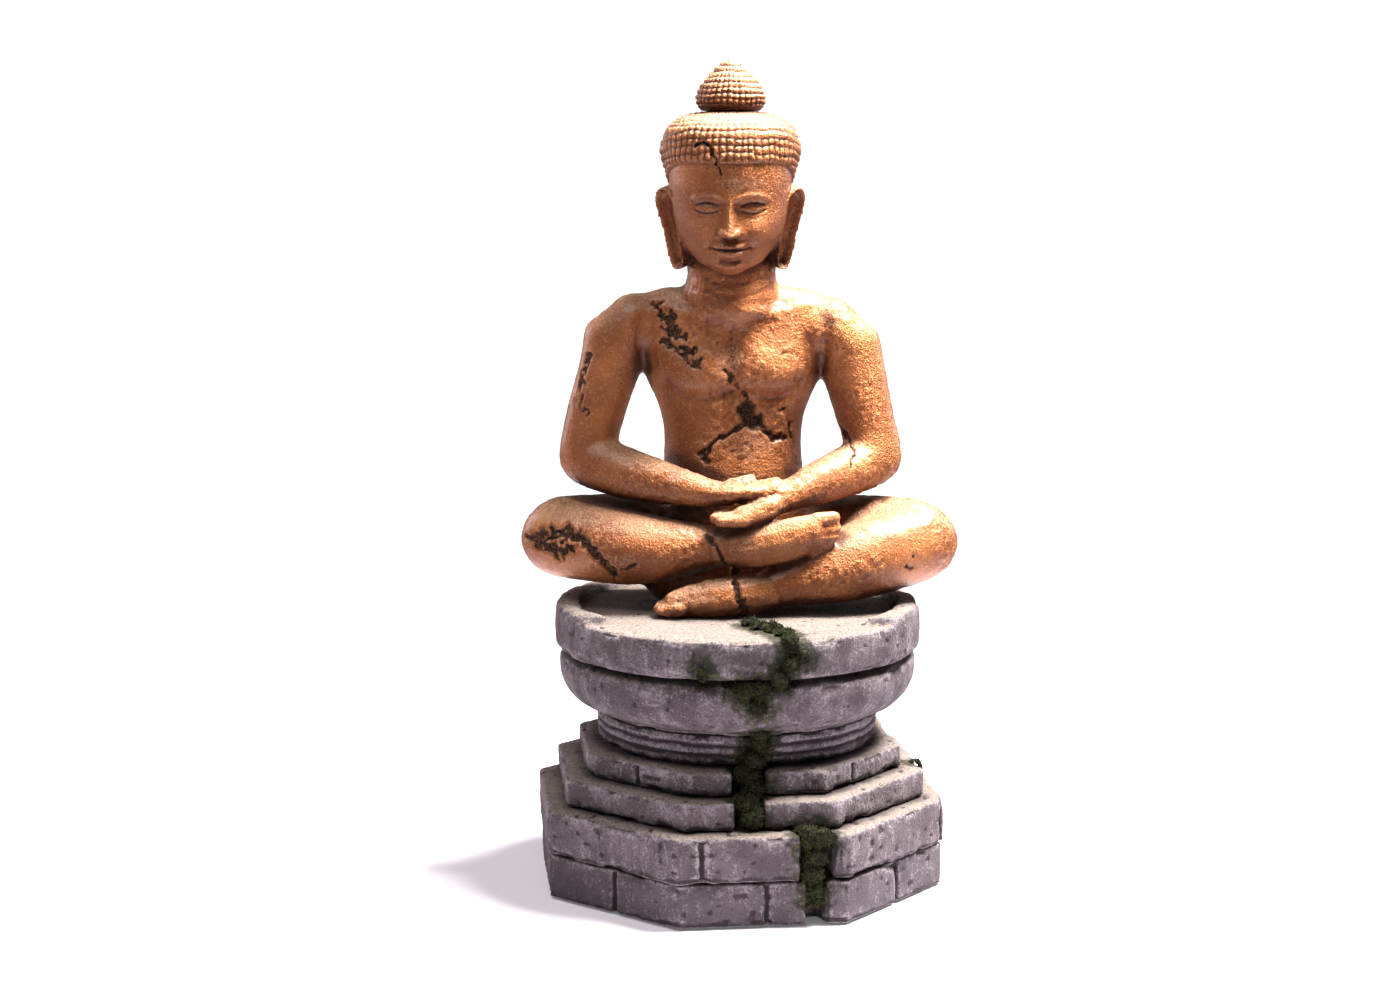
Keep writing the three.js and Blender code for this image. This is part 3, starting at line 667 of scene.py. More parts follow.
digits = share_of(body.data, label, ["left_hand", "right_hand", "left_foot", "right_foot"])
for _ in range(BLEND_ROUNDS):
    digits = averaged(digits, body_edges)
stiffness = np.exp((1 - digits) * math.log(LIMB_STIFF) + digits * math.log(DIGIT_STIFF))
faceted = points_of(body.data)
smooth = faired(faceted, body_edges, stiffness, FAIR_ROUNDS)
move_points(body.data, smooth)
print("fairing moved a point by at most", round(np.linalg.norm(smooth - faceted, axis=1).max() / MM, 2), "mm")

# %% [markdown]
# ## Modelling the body
#
# The castings give the build of the body. What makes it a body is the shallow relief on top: collar bones,
# the lower edge of the breast, the line down the middle, the folds of neck and armpit. Each is a line seen
# from the front, as a sculptor draws it on the clay before cutting, with a width and a height that is below 0
# where it is cut in. Knees, breast, shoulders and shoulder blades are soft swellings laid on top.

# %% Lines drawn on the body
def body_path(*corners):
    """An [x, z] line in millimetres from the figure's middle and the floor, in metres."""
    return [(MIDDLE_X + x * MM, z * MM) for x, z in corners]


def both_sides(*corners):
    """A line, and the same line on the other side of the figure."""
    return [body_path(*corners), body_path(*[(-x, z) for x, z in corners])]


# line, width and height in millimetres
RELIEF = [
    *[(line, 2.0, -0.95) for line in both_sides((2.5, 144), (8, 142.4), (14, 143), (19, 147.4))],  # breast
    *[(line, 1.6, 0.5) for line in both_sides((3, 168.4), (12, 167.2), (22, 169.6))],  # collar bones
    *[(line, 2.0, -0.35) for line in both_sides((5, 171), (14, 170.4))],  # hollows above them
    *[(line, 1.9, -0.9) for line in both_sides((27.4, 165), (27.4, 158), (26, 151))],  # armpits
    (body_path((-10, 178.2), (-5, 176.6), (0, 176.1), (5, 176.6), (10, 178.2)), 0.9, -0.3),  # neck folds
    (body_path((-11, 174.6), (-5, 172.8), (0, 172.3), (5, 172.8), (11, 174.6)), 0.8, -0.3),
    (body_path((0, 163), (0, 145)), 1.9, -0.8),  # breastbone
    (body_path((0, 140), (0, 122)), 2.2, -0.35),  # middle of the belly
]
SPINE, SPINE_WIDE, SPINE_DEEP = body_path((0, 165), (0, 100)), 2.6, 0.7

# faces it is on, height, middle from the figure's middle, and reach, in millimetres
SWELLINGS = [
    ("all", 1.1, (-60, 2, 100), 9),  # knees
    ("all", 1.1, (65, 2, 100), 9),
    *[("back", 1.0, (x, 24, 155), 9) for x in (-14, 14)],  # shoulder blades
    *[("all", 0.8, (x, 12.5, 171), 6.5) for x in (-25, 25)],  # slopes beside the neck
    *[("front", 1.6, (x, 0, 151), 12) for x in (-12, 12)],  # breast
    ("all", 0.8, (-36, 12.5, 164), 9),  # right shoulder
    ("all", -0.9, (-47, 12, 152), 10),  # outside of the right arm, which is flatter
]

# %% Relief on the body
points = points_of(body.data)
normals = normals_of(body.data)
facing = {"all": 1, "front": slope(-normals[:, 1], -0.1, 0.35), "back": slope(normals[:, 1], 0.1, 0.5)}
push = -SPINE_DEEP * facing["back"] * drawn(points, SPINE, SPINE_WIDE)
for line, width, height in RELIEF:
    push += height * facing["front"] * drawn(points, line, width)
for faces, height, (x, y, z), reach in SWELLINGS:
    push += height * facing[faces] * hump(points, (MIDDLE_X + x * MM, y * MM, z * MM), reach * MM)
points = relaxed(points + normals * (push * MM)[:, None], body_edges, 4)
move_points(body.data, points)
print("relief from", round(push.min(), 2), "to", round(push.max(), 2), "mm")

# %% [markdown]
# ## Damage
#
# The paint and the casting under it are made to look broken: a line of pits over the right breast, a hole
# under the breastbone with cracks running from it, a big flaked patch on the right knee, cracks round the
# wrist and the ankles. A crack is a line drawn from the front, widened and narrowed by grain so that its
# edges are ragged, then pushed in. How broken each point is, from 0 to 1, is kept with the mesh, and the
# paint reads it.

# %% Cracks, pits and bare patches
# line, width, depth in millimetres, and how ragged: 0 keeps the line whole, 1 breaks it into pits
CRACKS = [
    # pits down the right breast
    (body_path((-23, 169.5), (-19, 166), (-18, 163), (-15, 161), (-14.4, 158)), 2.1, 0.9, 0.9),
    (body_path((-14.6, 158), (-13, 156), (-12.4, 154), (-10.2, 152)), 2.4, 0.9, 0.9),
    (body_path((-19.6, 159), (-17, 156.6), (-14, 155.4)), 1.3, 0.8, 0.9),
    # the hole under the breastbone, and what runs into it and out of it
    (body_path((-2, 151.4), (0.4, 148), (3.2, 144.4), (4, 141)), 0.8, 0.6, 0.6),
    (body_path((4.4, 139.6), (4.6, 136.6), (7, 135.8)), 3.3, 2.4, 0.15),
    (body_path((4, 135), (0.4, 133.2), (-2, 131.6), (-5.4, 129), (-7.4, 127.8)), 0.9, 1.0, 0.4),
    (body_path((-7.2, 127.8), (-8.6, 125.4), (-7.2, 123.8)), 1.3, 1.0, 0.4),
    (body_path((7, 135.2), (10, 132.6), (12.6, 130.6), (15.2, 130.6)), 1.3, 1.1, 0.4),
    (body_path((17.6, 135), (17.2, 132.4), (16.8, 129.8)), 0.7, 0.7, 0.3),
    (body_path((13.6, 138), (15.6, 140)), 0.6, 0.5, 0.5),
    # the flaked patch on the right knee, and its tail down the shin
    (body_path((-58, 101), (-54, 103.6), (-49, 104.4), (-44.6, 102.6)), 2.5, 1.3, 0.45),
    (body_path((-57.6, 100.4), (-54, 99), (-50, 98.6), (-47, 101)), 2.9, 1.3, 0.6),
    (body_path((-45, 103), (-40.4, 99.2), (-37, 95.6), (-34, 92)), 1.7, 1.2, 0.35),
    (body_path((-60.4, 101.4), (-58, 100.8)), 0.8, 0.7, 0.3),
    (body_path((-33.6, 93), (-30.4, 94), (-28, 95.4)), 0.8, 0.5, 0.8),
    # right arm, left wrist, right ankle, left foot, left knee
    (body_path((-42.8, 155), (-43.6, 151), (-44.6, 146), (-45.4, 141), (-43, 138)), 0.8, 0.5, 0.75),
    (body_path((31.6, 134), (34.2, 130.4), (36.4, 127), (34.6, 122.4)), 0.55, 0.5, 0.2),
    (body_path((-6.4, 103.4), (-4.6, 100.4), (-2.8, 97.4), (-1.2, 94.6)), 0.8, 0.8, 0.2),
    (body_path((0.8, 94.8), (1.4, 90), (2.4, 86), (3.6, 82)), 1.1, 0.9, 0.3),
    (body_path((52.8, 97.6), (51, 94.6), (54, 93.2)), 0.7, 0.4, 0.7),
]
# centre, reach across and up, in millimetres: plaster shows through the paint here
BARE = [
    ((-1, 154), 4.5, 5.5),  # breastbone
    ((5.4, 128.4), 7.5, 4.2),  # below the hole
    ((29.5, 166), 4.6, 3.6),  # front of the left shoulder
    ((-51, 100.6), 5.5, 2.4),  # right knee
    ((-32, 96.4), 7, 3),  # right shin
    ((3, 102), 8, 3),  # upper foot
    ((-11, 87.4), 8, 3),  # lower foot
]

# %% Cutting the damage
# Sizes of grain and heights in millimetres.
CROOKED = [(3.1, 0.9), (1.3, 0.45)]  # how far a crack strays from its line
FRAY_SIZE = 1.7
CRUMB_SIZE = 1.15
CRUMBS = (0.15, 0.5)  # crumbs that still stand in a ragged crack
FRAY_LEAST, FRAY_RAGGED = 0.2, 0.5  # how much a crack's edge wanders, whole and ragged, in crack widths
CRACK_EDGE = (1.0, 0.4)  # from the line, in crack widths: where the cut starts, and where it is fully deep
PATCH_FRAY, PATCH_EDGE = 0.35, (1.05, 0.55)  # the same for a bare patch, in reaches
PEBBLE_SIZE, PEBBLE_HIGH = 1.5, 0.16
SAND_PATCH, SAND_THIN, SAND_MORE = 13, 0.5, 1.1  # where sand lies thickest, and how little and much more
SMALL_DENT = 0.1  # depth that counts as 1 for the paint


def damaged(mesh, cracks, bare, seed):
    """Cuts the cracks and keeps how broken and how bare each point is."""
    points, normals = points_of(mesh), normals_of(mesh)
    in_front = slope(-normals[:, 1], -0.25, 0.15)
    crooked = points.copy()
    for axis in (0, 2):
        for k, (size, sway) in enumerate(CROOKED):
            crooked[:, axis] += sway * MM * grain(points, size * MM, seed + 3 * k + axis)
    fray = grains(points, FRAY_SIZE * MM, 2, seed + 6)
    crumbs = slope(grain(points, CRUMB_SIZE * MM, seed + 8), *CRUMBS)
    broken = np.zeros(len(points))
    push = np.zeros(len(points))
    for line, width, depth, ragged in cracks:
        reach = front_distance(crooked, line) / (width * MM) + (FRAY_LEAST + FRAY_RAGGED * ragged) * fray
        cut = slope(reach, *CRACK_EDGE) * in_front * (1 - crumbs * min(1.0, 1.3 * ragged))
        push = np.maximum(push, depth * cut)
        broken = np.maximum(broken, cut)
    plaster = np.zeros(len(points))
    for (x, z), across, up in bare:
        away = np.hypot((points[:, 0] - MIDDLE_X - x * MM) / across, (points[:, 2] - z * MM) / up) / MM
        plaster = np.maximum(plaster, slope(away + PATCH_FRAY * fray, *PATCH_EDGE) * in_front)
    push = push - PEBBLE_HIGH * plaster * grains(points, PEBBLE_SIZE * MM, 2, seed + 9)
    move_points(mesh, points - normals * (push * MM)[:, None])
    keep(mesh, "broken", broken)
    keep(mesh, "bare", plaster)
    print("points in a crack:", int((broken > 0.5).sum()))


def sanded(mesh, fine, coarse, coarse_share, height, patchy):
    """Raises the sand under the paint: two grain sizes and a height in millimetres, even or in patches."""
    points = points_of(mesh)
    sand = grain(points, fine * MM, 41) + coarse_share * grain(points, coarse * MM, 43)
    if patchy:
        thick = slope(grains(points, SAND_PATCH * MM, 2, 47), -0.15, 0.25)
        sand *= SAND_THIN + SAND_MORE * thick
    move_points(mesh, points + normals_of(mesh) * (height * MM * sand)[:, None])


damaged(body.data, CRACKS, BARE, 300)
sanded(body.data, 1.0, 2.1, 0.9, 0.14, patchy=True)
keep(body.data, "hollow", hollowness(body.data, 6) / (SMALL_DENT * MM))

# %% [markdown]
# ## Cutting the skin into castings again
#
# Every face goes to the CAD casting that it lies nearest to. A face whose neighbours mostly belong elsewhere
# joins them, so the seams run clean. Separating by material is Blender's quickest way to cut a mesh up; each
# piece's open rims are then filled, and the rim edges are marked sharp so that the hidden caps don't show in
# the shading.

# %% Separate the castings
def cap_rims(mesh):
    """Fills the open rims of a cut piece."""
    cut = bmesh.new()
    cut.from_mesh(mesh)
    rims = [edge for edge in cut.edges if edge.is_boundary]
    for edge in rims:
        edge.smooth = False
    filled = bmesh.ops.holes_fill(cut, edges=rims, sides=0)["faces"]
    for face in filled:
        face.smooth = False
    bmesh.ops.triangulate(cut, faces=filled)
    cut.to_mesh(mesh)
    cut.free()


def separated(skin, castings, label, ending):
    """Cuts the skin up by label, and names each piece after its casting."""
    smooth_shaded(skin)
    for node in castings:
        skin.data.materials.append(bpy.data.materials.new(node))
    skin.data.polygons.foreach_set("material_index", label.astype(np.int32))
    for other in bpy.context.selected_objects:
        other.select_set(False)
    bpy.context.view_layer.objects.active = skin
    skin.select_set(True)
    bpy.ops.mesh.separate(type="MATERIAL")
    found = {}
    for piece in bpy.context.selected_objects:
        node = piece.data.materials[0].name
        piece.name = piece.data.name = f"{node}_{ending}"
        piece.data.materials.clear()
        cap_rims(piece.data)
        found[node] = piece
    return found


castings = separated(body, CASTINGS, label, "casting")
for node, piece in castings.items():
    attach(piece, "root")
    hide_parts(node)
    print(piece.name, len(piece.data.polygons), "faces")

# %% [markdown]
# ## The head
#
# The head is a ball pulled into a skull. Every point of a sphere has a height and a direction; a short table
# says how far the skull reaches to the side, the front and the back at each height, and a smooth curve
# through the table places the point. The ears are cut from an outline and thickened, the neck is a short
# cone, and all of it is remeshed into one skin, finer than the body's because a face needs it.
#
# The face is a plain one on the proportions that drawing books teach: hairline, brow, nose and chin a third
# of the face apart, the eyes one eye apart, the mouth a third of the way from nose to chin. The eyes are
# closed and the mouth is at rest.

# %% Skull, ears and neck
HEAD_VOXEL = 0.34 * MM
CHIN = Vector((HEAD_X, 6.4 * MM, 180.4 * MM))
BOW = math.radians(7)
HEAD_PLACE = Matrix.Translation(CHIN) @ Matrix.Rotation(BOW, 4, "X")

# height above the chin, half-width, reach in front, reach behind, in millimetres
SKULL = np.array([
    (0.0, 0, 0, 0),
    (0.3, 4, 15, 1),
    (3, 10, 17, 4),
    (7, 13.4, 17.4, 9),
    (11, 15.4, 17.5, 14),
    (16, 16.8, 17.7, 18),
    (21, 17.4, 17.8, 19.8),
    (26, 17.9, 18, 20.6),
    (31, 18, 17.7, 20.8),
    (35, 17.8, 16.6, 20.4),
    (39, 16.2, 14, 18.6),
    (42.6, 12.6, 10.4, 14.4),
    (45, 6.6, 5.4, 7.6),
    (45.6, 0, 0, 0),
])


def skull_point(direction):
    """Where a point of a unit ball lies on the skull, in millimetres."""
    share = math.acos(max(-1, min(1, -direction.z))) / math.pi
    row = share * (len(SKULL) - 1)
    height, side, front, back = (np.interp(row, range(len(SKULL)), c) for c in SKULL.T)
    level = math.hypot(direction.x, direction.y) or 1
    across, facing = direction.x / level, -direction.y / level
    return Vector((side * across, -(front if facing > 0 else back) * facing, height))


# back and up, in millimetres
EAR_RIM = [
    (-1.6, 20), (0.8, 24.4), (4, 25.4), (6.8, 22.4), (6.2, 17), (4.8, 12), (4.6, 7),
    (3.6, 1.2), (0.8, 0), (-1.6, 2.2), (-1.7, 8), (-1.2, 13), (-2, 16.6),
]
EAR_BACK = -2.4  # across: where the flat ear's inner face lies
EAR_THICK = 7.0
EAR_RIM_WIDE = 1.7
EAR_HOLLOW = 2.7  # how deep its outer face is sunk inside the rim
EAR_PLACE = (
    Matrix.Translation((11.9, 1.0, 0)) @ Matrix.Rotation(math.radians(-46), 4, "Z")
    @ Matrix.Rotation(math.radians(10), 4, "Y")
)


def add_ear(gathered, side):
    """A flat ear cut from its outline, on one side of the head."""
    outline = np.array(EAR_RIM)
    # each round cuts off every corner a quarter of the way along its sides
    for _ in range(2):
        following = np.roll(outline, -1, axis=0)
        cut = [0.75 * outline + 0.25 * following, 0.25 * outline + 0.75 * following]
        outline = np.stack(cut, axis=1).reshape(-1, 2)
    flat = gathered.faces.new([gathered.verts.new((EAR_BACK, y, z)) for y, z in outline])
    raised = bmesh.ops.extrude_face_region(gathered, geom=[flat])["geom"]
    top = [v for v in raised if isinstance(v, bmesh.types.BMVert)]
    bmesh.ops.translate(gathered, verts=top, vec=(EAR_THICK, 0, 0))
    outer = [f for f in raised if isinstance(f, bmesh.types.BMFace)]
    bmesh.ops.inset_region(gathered, faces=outer, thickness=EAR_RIM_WIDE)
    bmesh.ops.translate(gathered, verts=list({v for f in outer for v in f.verts}), vec=(-EAR_HOLLOW, 0, 0))
    whole = list({v for face in gathered.faces for v in face.verts})
    place = Matrix.Diagonal((side, 1, 1, 1)) @ EAR_PLACE
    bmesh.ops.transform(gathered, matrix=place, verts=whole)


def head_parts():
    """Skull, ears and neck in one bmesh, in the figure's place."""
    gathered = bmesh.new()
    for side in (1, -1):
        ear = bmesh.new()
        add_ear(ear, side)
        bmesh.ops.recalc_face_normals(ear, faces=ear.faces)
        part = bpy.data.meshes.new("ear")
        ear.to_mesh(part)
        ear.free()
        gathered.from_mesh(part)
        bpy.data.meshes.remove(part)
    ball = bmesh.ops.create_uvsphere(gathered, u_segments=96, v_segments=96, radius=1)["verts"]
    for vertex in ball:
        vertex.co = skull_point(vertex.co)
    bmesh.ops.scale(gathered, vec=(MM, MM, MM), verts=gathered.verts)
    bmesh.ops.transform(gathered, matrix=HEAD_PLACE, verts=gathered.verts)
    add_neck(gathered, HEAD_X, 189.5, 12.4, 11.0, 17)
    return gathered


# %% Even out the head and its ears
EAR_ACROSS = (16.5, 18.5)  # from the head's middle: where the skull ends, and where all is ear
EAR_TOP = (209, 206)  # heights from the floor: above the first there is no ear
SKULL_STIFF, EAR_STIFF, HEAD_FAIR_ROUNDS = 0.3, 6, 40
MELT_ROUNDS = 12  # softens the joins between skull, ears and neck

head = even_skin("head_casting", head_parts(), HEAD_VOXEL)
head_edges = edges_of(head.data)
points = relaxed(points_of(head.data), head_edges, MELT_ROUNDS)
ear_share = slope(abs(points[:, 0] - HEAD_X) / MM, *EAR_ACROSS) * slope(points[:, 2] / MM, *EAR_TOP)
for _ in range(4):
    ear_share = averaged(ear_share, head_edges)
move_points(head.data, faired(points, head_edges, SKULL_STIFF + EAR_STIFF * ear_share, HEAD_FAIR_ROUNDS))

# %% [markdown]
# ## The face
#
# In the head's own frame, up is measured from the chin and across from the middle. Each feature is a soft
# hump or a thin line laid over the skull, and each pushes the skin forward by a fraction of a millimetre up
# to a few for the nose. Adding many small, smooth pushes is how a face is built up in clay, and it keeps
# every part easy to adjust by itself.

# %% Features as pushes forward
EYE_ACROSS, EYE_UP = 6.7, 19.6
NOSE_BASE, BROW_UP = 12.0, 22.8
MOUTH_UP = 8.1


def in_head(points):
    """Places in millimetres in the head's own frame: across, back, and up from the chin."""
    whole = np.c_[points, np.ones(len(points))] @ np.array(HEAD_PLACE.inverted()).T
    return whole[:, :3] / MM


def spot(across, up, at, size):
    """A soft round patch at (across, up), `size` wide and high."""
    return np.exp(-(((across - at[0]) / size[0]) ** 2) - ((up - at[1]) / size[1]) ** 2)


def line(across, up, middle, half_length, curve, width):
    """A thin curved line through `middle`; a positive curve lifts its ends."""
    away = across - middle[0]
    height = middle[1] + curve * away**2
    return np.exp(-(((up - height) / width) ** 2)) * slope(abs(away), half_length * 1.15, half_length * 0.7)


# brush, whether it is on both sides, height, middle (across, up), and then for a spot its half-sizes, for a
# line its half-length, how its ends curve up, and its width; in millimetres
FEATURES = [
    (spot, True, 1.5, (2.5, NOSE_BASE + 1.2), (1.3, 1.3)),  # wings of the nose
    (spot, True, -0.9, (1.3, NOSE_BASE - 0.4), (0.8, 0.5)),  # nostrils
    (spot, True, -2.1, (EYE_ACROSS - 0.6, EYE_UP + 0.4), (4.2, 2.7)),  # eye sockets
    (spot, True, 1.9, (EYE_ACROSS, EYE_UP - 0.1), (3.2, 1.8)),  # closed lids over the eyeballs
    (line, True, -0.75, (EYE_ACROSS, EYE_UP - 1.2), 3.6, 0.07, 0.42),  # where the lids meet
    (line, True, -0.45, (EYE_ACROSS, EYE_UP + 1.7), 3.7, -0.07, 0.4),  # fold above the lid
    (line, True, -0.3, (EYE_ACROSS, EYE_UP - 2.4), 2.8, 0.09, 0.5),  # fold below the eye
    (line, True, 0.85, (EYE_ACROSS - 0.4, BROW_UP + 0.9), 5.2, -0.055, 0.85),  # brows
    (spot, True, 1.2, (8.4, 13.6), (4.2, 3.6)),  # cheeks
    (spot, False, 1.2, (0, MOUTH_UP + 0.4), (6.2, 3.8)),  # the mouth's mound
    (line, False, 0.75, (0, MOUTH_UP + 1.15), 5, -0.012, 0.8),  # upper lip
    (line, False, 0.95, (0, MOUTH_UP - 1.3), 3.9, 0.03, 0.95),  # lower lip
    (line, False, -0.95, (0, MOUTH_UP), 5.6, 0.014, 0.38),  # between the lips
    (spot, True, -0.7, (5.9, MOUTH_UP + 0.6), (0.9, 0.9)),  # corners of the mouth
    (spot, False, -0.4, (0, NOSE_BASE - 1.6), (0.7, 1.1)),  # groove above the lip
    (line, False, -0.75, (0, MOUTH_UP - 3.3), 3.4, 0.03, 0.8),  # hollow below the lip
    (spot, False, 1.3, (0, 3.2), (3.8, 2.6)),  # chin
]


NOSE_WIDE, NOSE_SPREAD = 1.5, 0.9  # half-width at the brow, and how much more at the tip
BRIDGE_HIGH, TIP_HIGH = 0.7, 3.5  # height of the ridge at the brow, and how much more at the tip


def face_push(across, up):
    """How far the face stands forward of the plain skull, in millimetres."""
    side = abs(across)
    down_nose = np.clip((BROW_UP - up) / (BROW_UP - NOSE_BASE), 0, 1)
    ridge = np.exp(-((across / (NOSE_WIDE + NOSE_SPREAD * down_nose)) ** 2))
    ridge *= BRIDGE_HIGH + TIP_HIGH * down_nose**1.2
    push = ridge * slope(up, NOSE_BASE - 0.9, NOSE_BASE + 0.6) * slope(up, BROW_UP + 3, BROW_UP - 1)
    for brush, both, height, middle, *shape in FEATURES:
        push += height * brush(side if both else across, up, middle, *shape)
    return push


def facing_front(local):
    """1 straight ahead of the head's axis, 0 at its sides, -1 behind."""
    return -local[:, 1] / np.maximum(np.hypot(local[:, 0], local[:, 1]), 0.1)


points = points_of(head.data)
local = in_head(points)
front = slope(facing_front(local), 0.25, 0.6) * slope(local[:, 2], 0.3, 2.0)
forward = np.array(HEAD_PLACE.to_3x3() @ Vector((0, -1, 0)))
points += forward * (face_push(local[:, 0], local[:, 2]) * front * MM)[:, None]
move_points(head.data, relaxed(points, head_edges, 1))
print("nose stands", round(float(face_push(np.zeros(1), np.full(1, NOSE_BASE + 1.0))[0]), 1), "mm proud")

# %% [markdown]
# ## The hair
#
# The hair is a close cap of small square curls, in rows round the head and in columns that run down from the
# topknot. Two waves, one round the topknot's axis and one down the head, give every point its place in a
# curl; the product of the two is high in the middle of a curl and low in the grooves between.

# %% Curls on the head
# lengths in millimetres
HAIR_LINE = 33.0
HAIR_DIP = 6.0
HAIR_BEHIND = -0.9  # how far round the back the edge keeps dropping
HAIR_THICK = 2.8
HAIR_SWEPT = (0.5, 9)  # above its edge, where the hair is thin and where it is at its fullest
HAIR_REACH = 21.5  # from the heart of the hair to its surface
CROWN = (46.5, 40)  # the hair thins out again towards the topknot
CURL, CURL_HIGH, CURL_SUNK = 1.6, 0.55, 0.3
COLUMNS = 72
KNOT_COLUMNS = 34
KNOT_CURL_HIGH, KNOT_CURL_SUNK = 0.7, 0.45
GROOVE_DARK = 1.3  # how much hollower than its shape the paint takes a groove between curls to be

KNOT_MIDDLE = np.array([HEAD_X, (knot_low.y + knot_high.y) / 2])
HAIR_HEART = np.array([*KNOT_MIDDLE, knot_low.z - 24 * MM])


def curls(points, columns, rows_down):
    """0 in the grooves between curls and 1 in their middles; rows_down counts rows from the top."""
    turn = np.arctan2(points[:, 0] - KNOT_MIDDLE[0], KNOT_MIDDLE[1] - points[:, 1])
    turn = turn * columns / (2 * np.pi) + 0.22 * grain(points, 4 * MM, 61)
    rows_down = rows_down + 0.25 * grain(points, 3 * MM, 67)
    return (abs(np.cos(np.pi * turn)) ** 0.7) * (abs(np.sin(np.pi * rows_down)) ** 0.7)


points = points_of(head.data)
local = in_head(points)
hair_edge = HAIR_LINE - HAIR_DIP * (1 - np.maximum(facing_front(local), HAIR_BEHIND)) ** 2
above = local[:, 2] - hair_edge
hair = slope(above, -0.5, 0.5) * slope(points[:, 2], 180 * MM, 190 * MM)
outward = points - HAIR_HEART
reach = np.linalg.norm(outward, axis=1)
rows = np.arccos(np.clip(outward[:, 2] / reach, -1, 1)) * HAIR_REACH / CURL
curl = curls(points, COLUMNS, rows)
thick = HAIR_THICK * slope(local[:, 2], *CROWN) * (0.3 + 0.7 * slope(above, *HAIR_SWEPT))
points += normals_of(head.data) * (hair * (thick + CURL_HIGH * curl - CURL_SUNK) * MM)[:, None]
move_points(head.data, relaxed(points, head_edges, 1))
groove = hair * (1 - curl)
HEAD_CRACKS = [
    (body_path((-10.5, 216.6), (-8.2, 217.4), (-6.2, 215.2), (-5.3, 212.7), (-4.5, 210.2)), 0.75, 0.9, 0.4),
    (body_path((-4.5, 210.2), (-3.6, 206.4)), 0.6, 0.5, 0.6),
]
damaged(head.data, HEAD_CRACKS, [((2.5, 205), 7, 2.6)], 420)
sanded(head.data, 0.9, 1.9, 0.6, 0.05, patchy=False)
keep(head.data, "hollow", hollowness(head.data, 8) / (SMALL_DENT * MM) + GROOVE_DARK * groove)
smooth_shaded(head)
castings["head"] = head

# %% The topknot
topknot = even_skin("topknot_casting", copy_of("topknot", swell=0.1 * MM), 0.32 * MM)
knot_edges = edges_of(topknot.data)
points = relaxed(points_of(topknot.data), knot_edges, 16)
climb = (points[:, 2] - knot_low.z) / (CURL * MM)
curl = curls(points, KNOT_COLUMNS, climb)
out = slope(normals_of(topknot.data)[:, 2], -0.8, -0.3)
lumps = 0.5 * grain(points, 3 * MM, 71)
push = out * (KNOT_CURL_HIGH * curl - KNOT_CURL_SUNK + 0.4 * lumps)
points += normals_of(topknot.data) * (push * MM)[:, None]
move_points(topknot.data, relaxed(points, knot_edges, 1))
keep(topknot.data, "broken", np.zeros(len(points)))
keep(topknot.data, "bare", np.zeros(len(points)))
hollow = hollowness(topknot.data, 8) / (SMALL_DENT * MM)
keep(topknot.data, "hollow", hollow + GROOVE_DARK * (1 - curl) * out)
smooth_shaded(topknot)
castings["topknot"] = topknot
for node in ("head", "topknot"):
    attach(castings[node], "root")
    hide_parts(node)
    print(castings[node].name, len(castings[node].data.polygons), "faces")

# %% [markdown]
# ## Moss
#
# The moss is flock glued into the worn channel: a matted dark clump with short blades on it. Each CAD clump
# is remeshed and made lumpy, and then a short three-sided blade, bent a little by chance, is set on many of
# its faces. The chance comes from the same grain as everything else, so no two runs differ. The clump's back,
# which lies against the stone, stays bare.

# %% Clumps and blades
MOSS_VOXEL = 0.5 * MM
BLADES_EVERY = 4
BLADE_LONG = 1.5 * MM
BLADE_WIDE = 0.24 * MM
BLADE_LEAN = 0.9
CLUMP_LUMPS = [(3.2, 0.75), (1.4, 0.5)]  # grain size and height, in millimetres
MOSSES = [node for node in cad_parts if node.startswith("moss_")]


def clump(node, seed):
    """A lumpy copy of one CAD clump."""
    made = even_skin(f"{node}_clump", copy_of(node), MOSS_VOXEL)
    points = relaxed(points_of(made.data), edges_of(made.data), 10)
    push = layered(points, CLUMP_LUMPS, seed)
    move_points(made.data, points + normals_of(made.data) * (push * MM)[:, None])
    return made


def add_blades(made, seed):
    """Sets blades on the clump, and keeps for every point how far out along a blade it is."""
    source = made.data
    centres = np.array([p.center for p in source.polygons])[::BLADES_EVERY]
    normals = np.array([p.normal for p in source.polygons])[::BLADES_EVERY]
    lean = np.stack([grain(centres, 0.6 * MM, seed + k) for k in range(3)], 1)
    length = BLADE_LONG * (0.75 + 0.5 * grain(centres, 0.8 * MM, seed + 5))
    grown = bmesh.new()
    grown.from_mesh(source)
    tip = grown.verts.layers.float.new("tip")
    for centre, normal, tilt, long in zip(centres, normals, lean, length):
        if normal[1] > 0.3:
            continue
        way = Vector(normal + BLADE_LEAN * tilt).normalized()
        turned = way.to_track_quat("Z", "Y").to_matrix().to_4x4()
        place = Matrix.Translation(Vector(centre) + way * long * 0.4) @ turned
        cone = bmesh.ops.create_cone(
            grown, cap_ends=True, segments=3, radius1=BLADE_WIDE, radius2=0, depth=long, matrix=place
        )["verts"]
        for vertex in cone:
            vertex[tip] = 1.0 if (vertex.co - Vector(centre)).dot(way) > long * 0.5 else 0.25
    grown.to_mesh(source)
    grown.free()


mosses = {}
for number, node in enumerate(MOSSES):
    moss = clump(node, 500 + 10 * number)
    add_blades(moss, 600 + 10 * number)
    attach(moss, "root")
    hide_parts(node)
    mosses[node] = moss
    print(moss.name, len(moss.data.polygons), "faces")


# %% [markdown]
# ## Stains beside the moss
#
# Damp and green creep out of the moss over the stone and the paint beside it. Each stone and casting keeps,
# for every point, how near the moss is; the materials break that up with grain and paint it dark green.

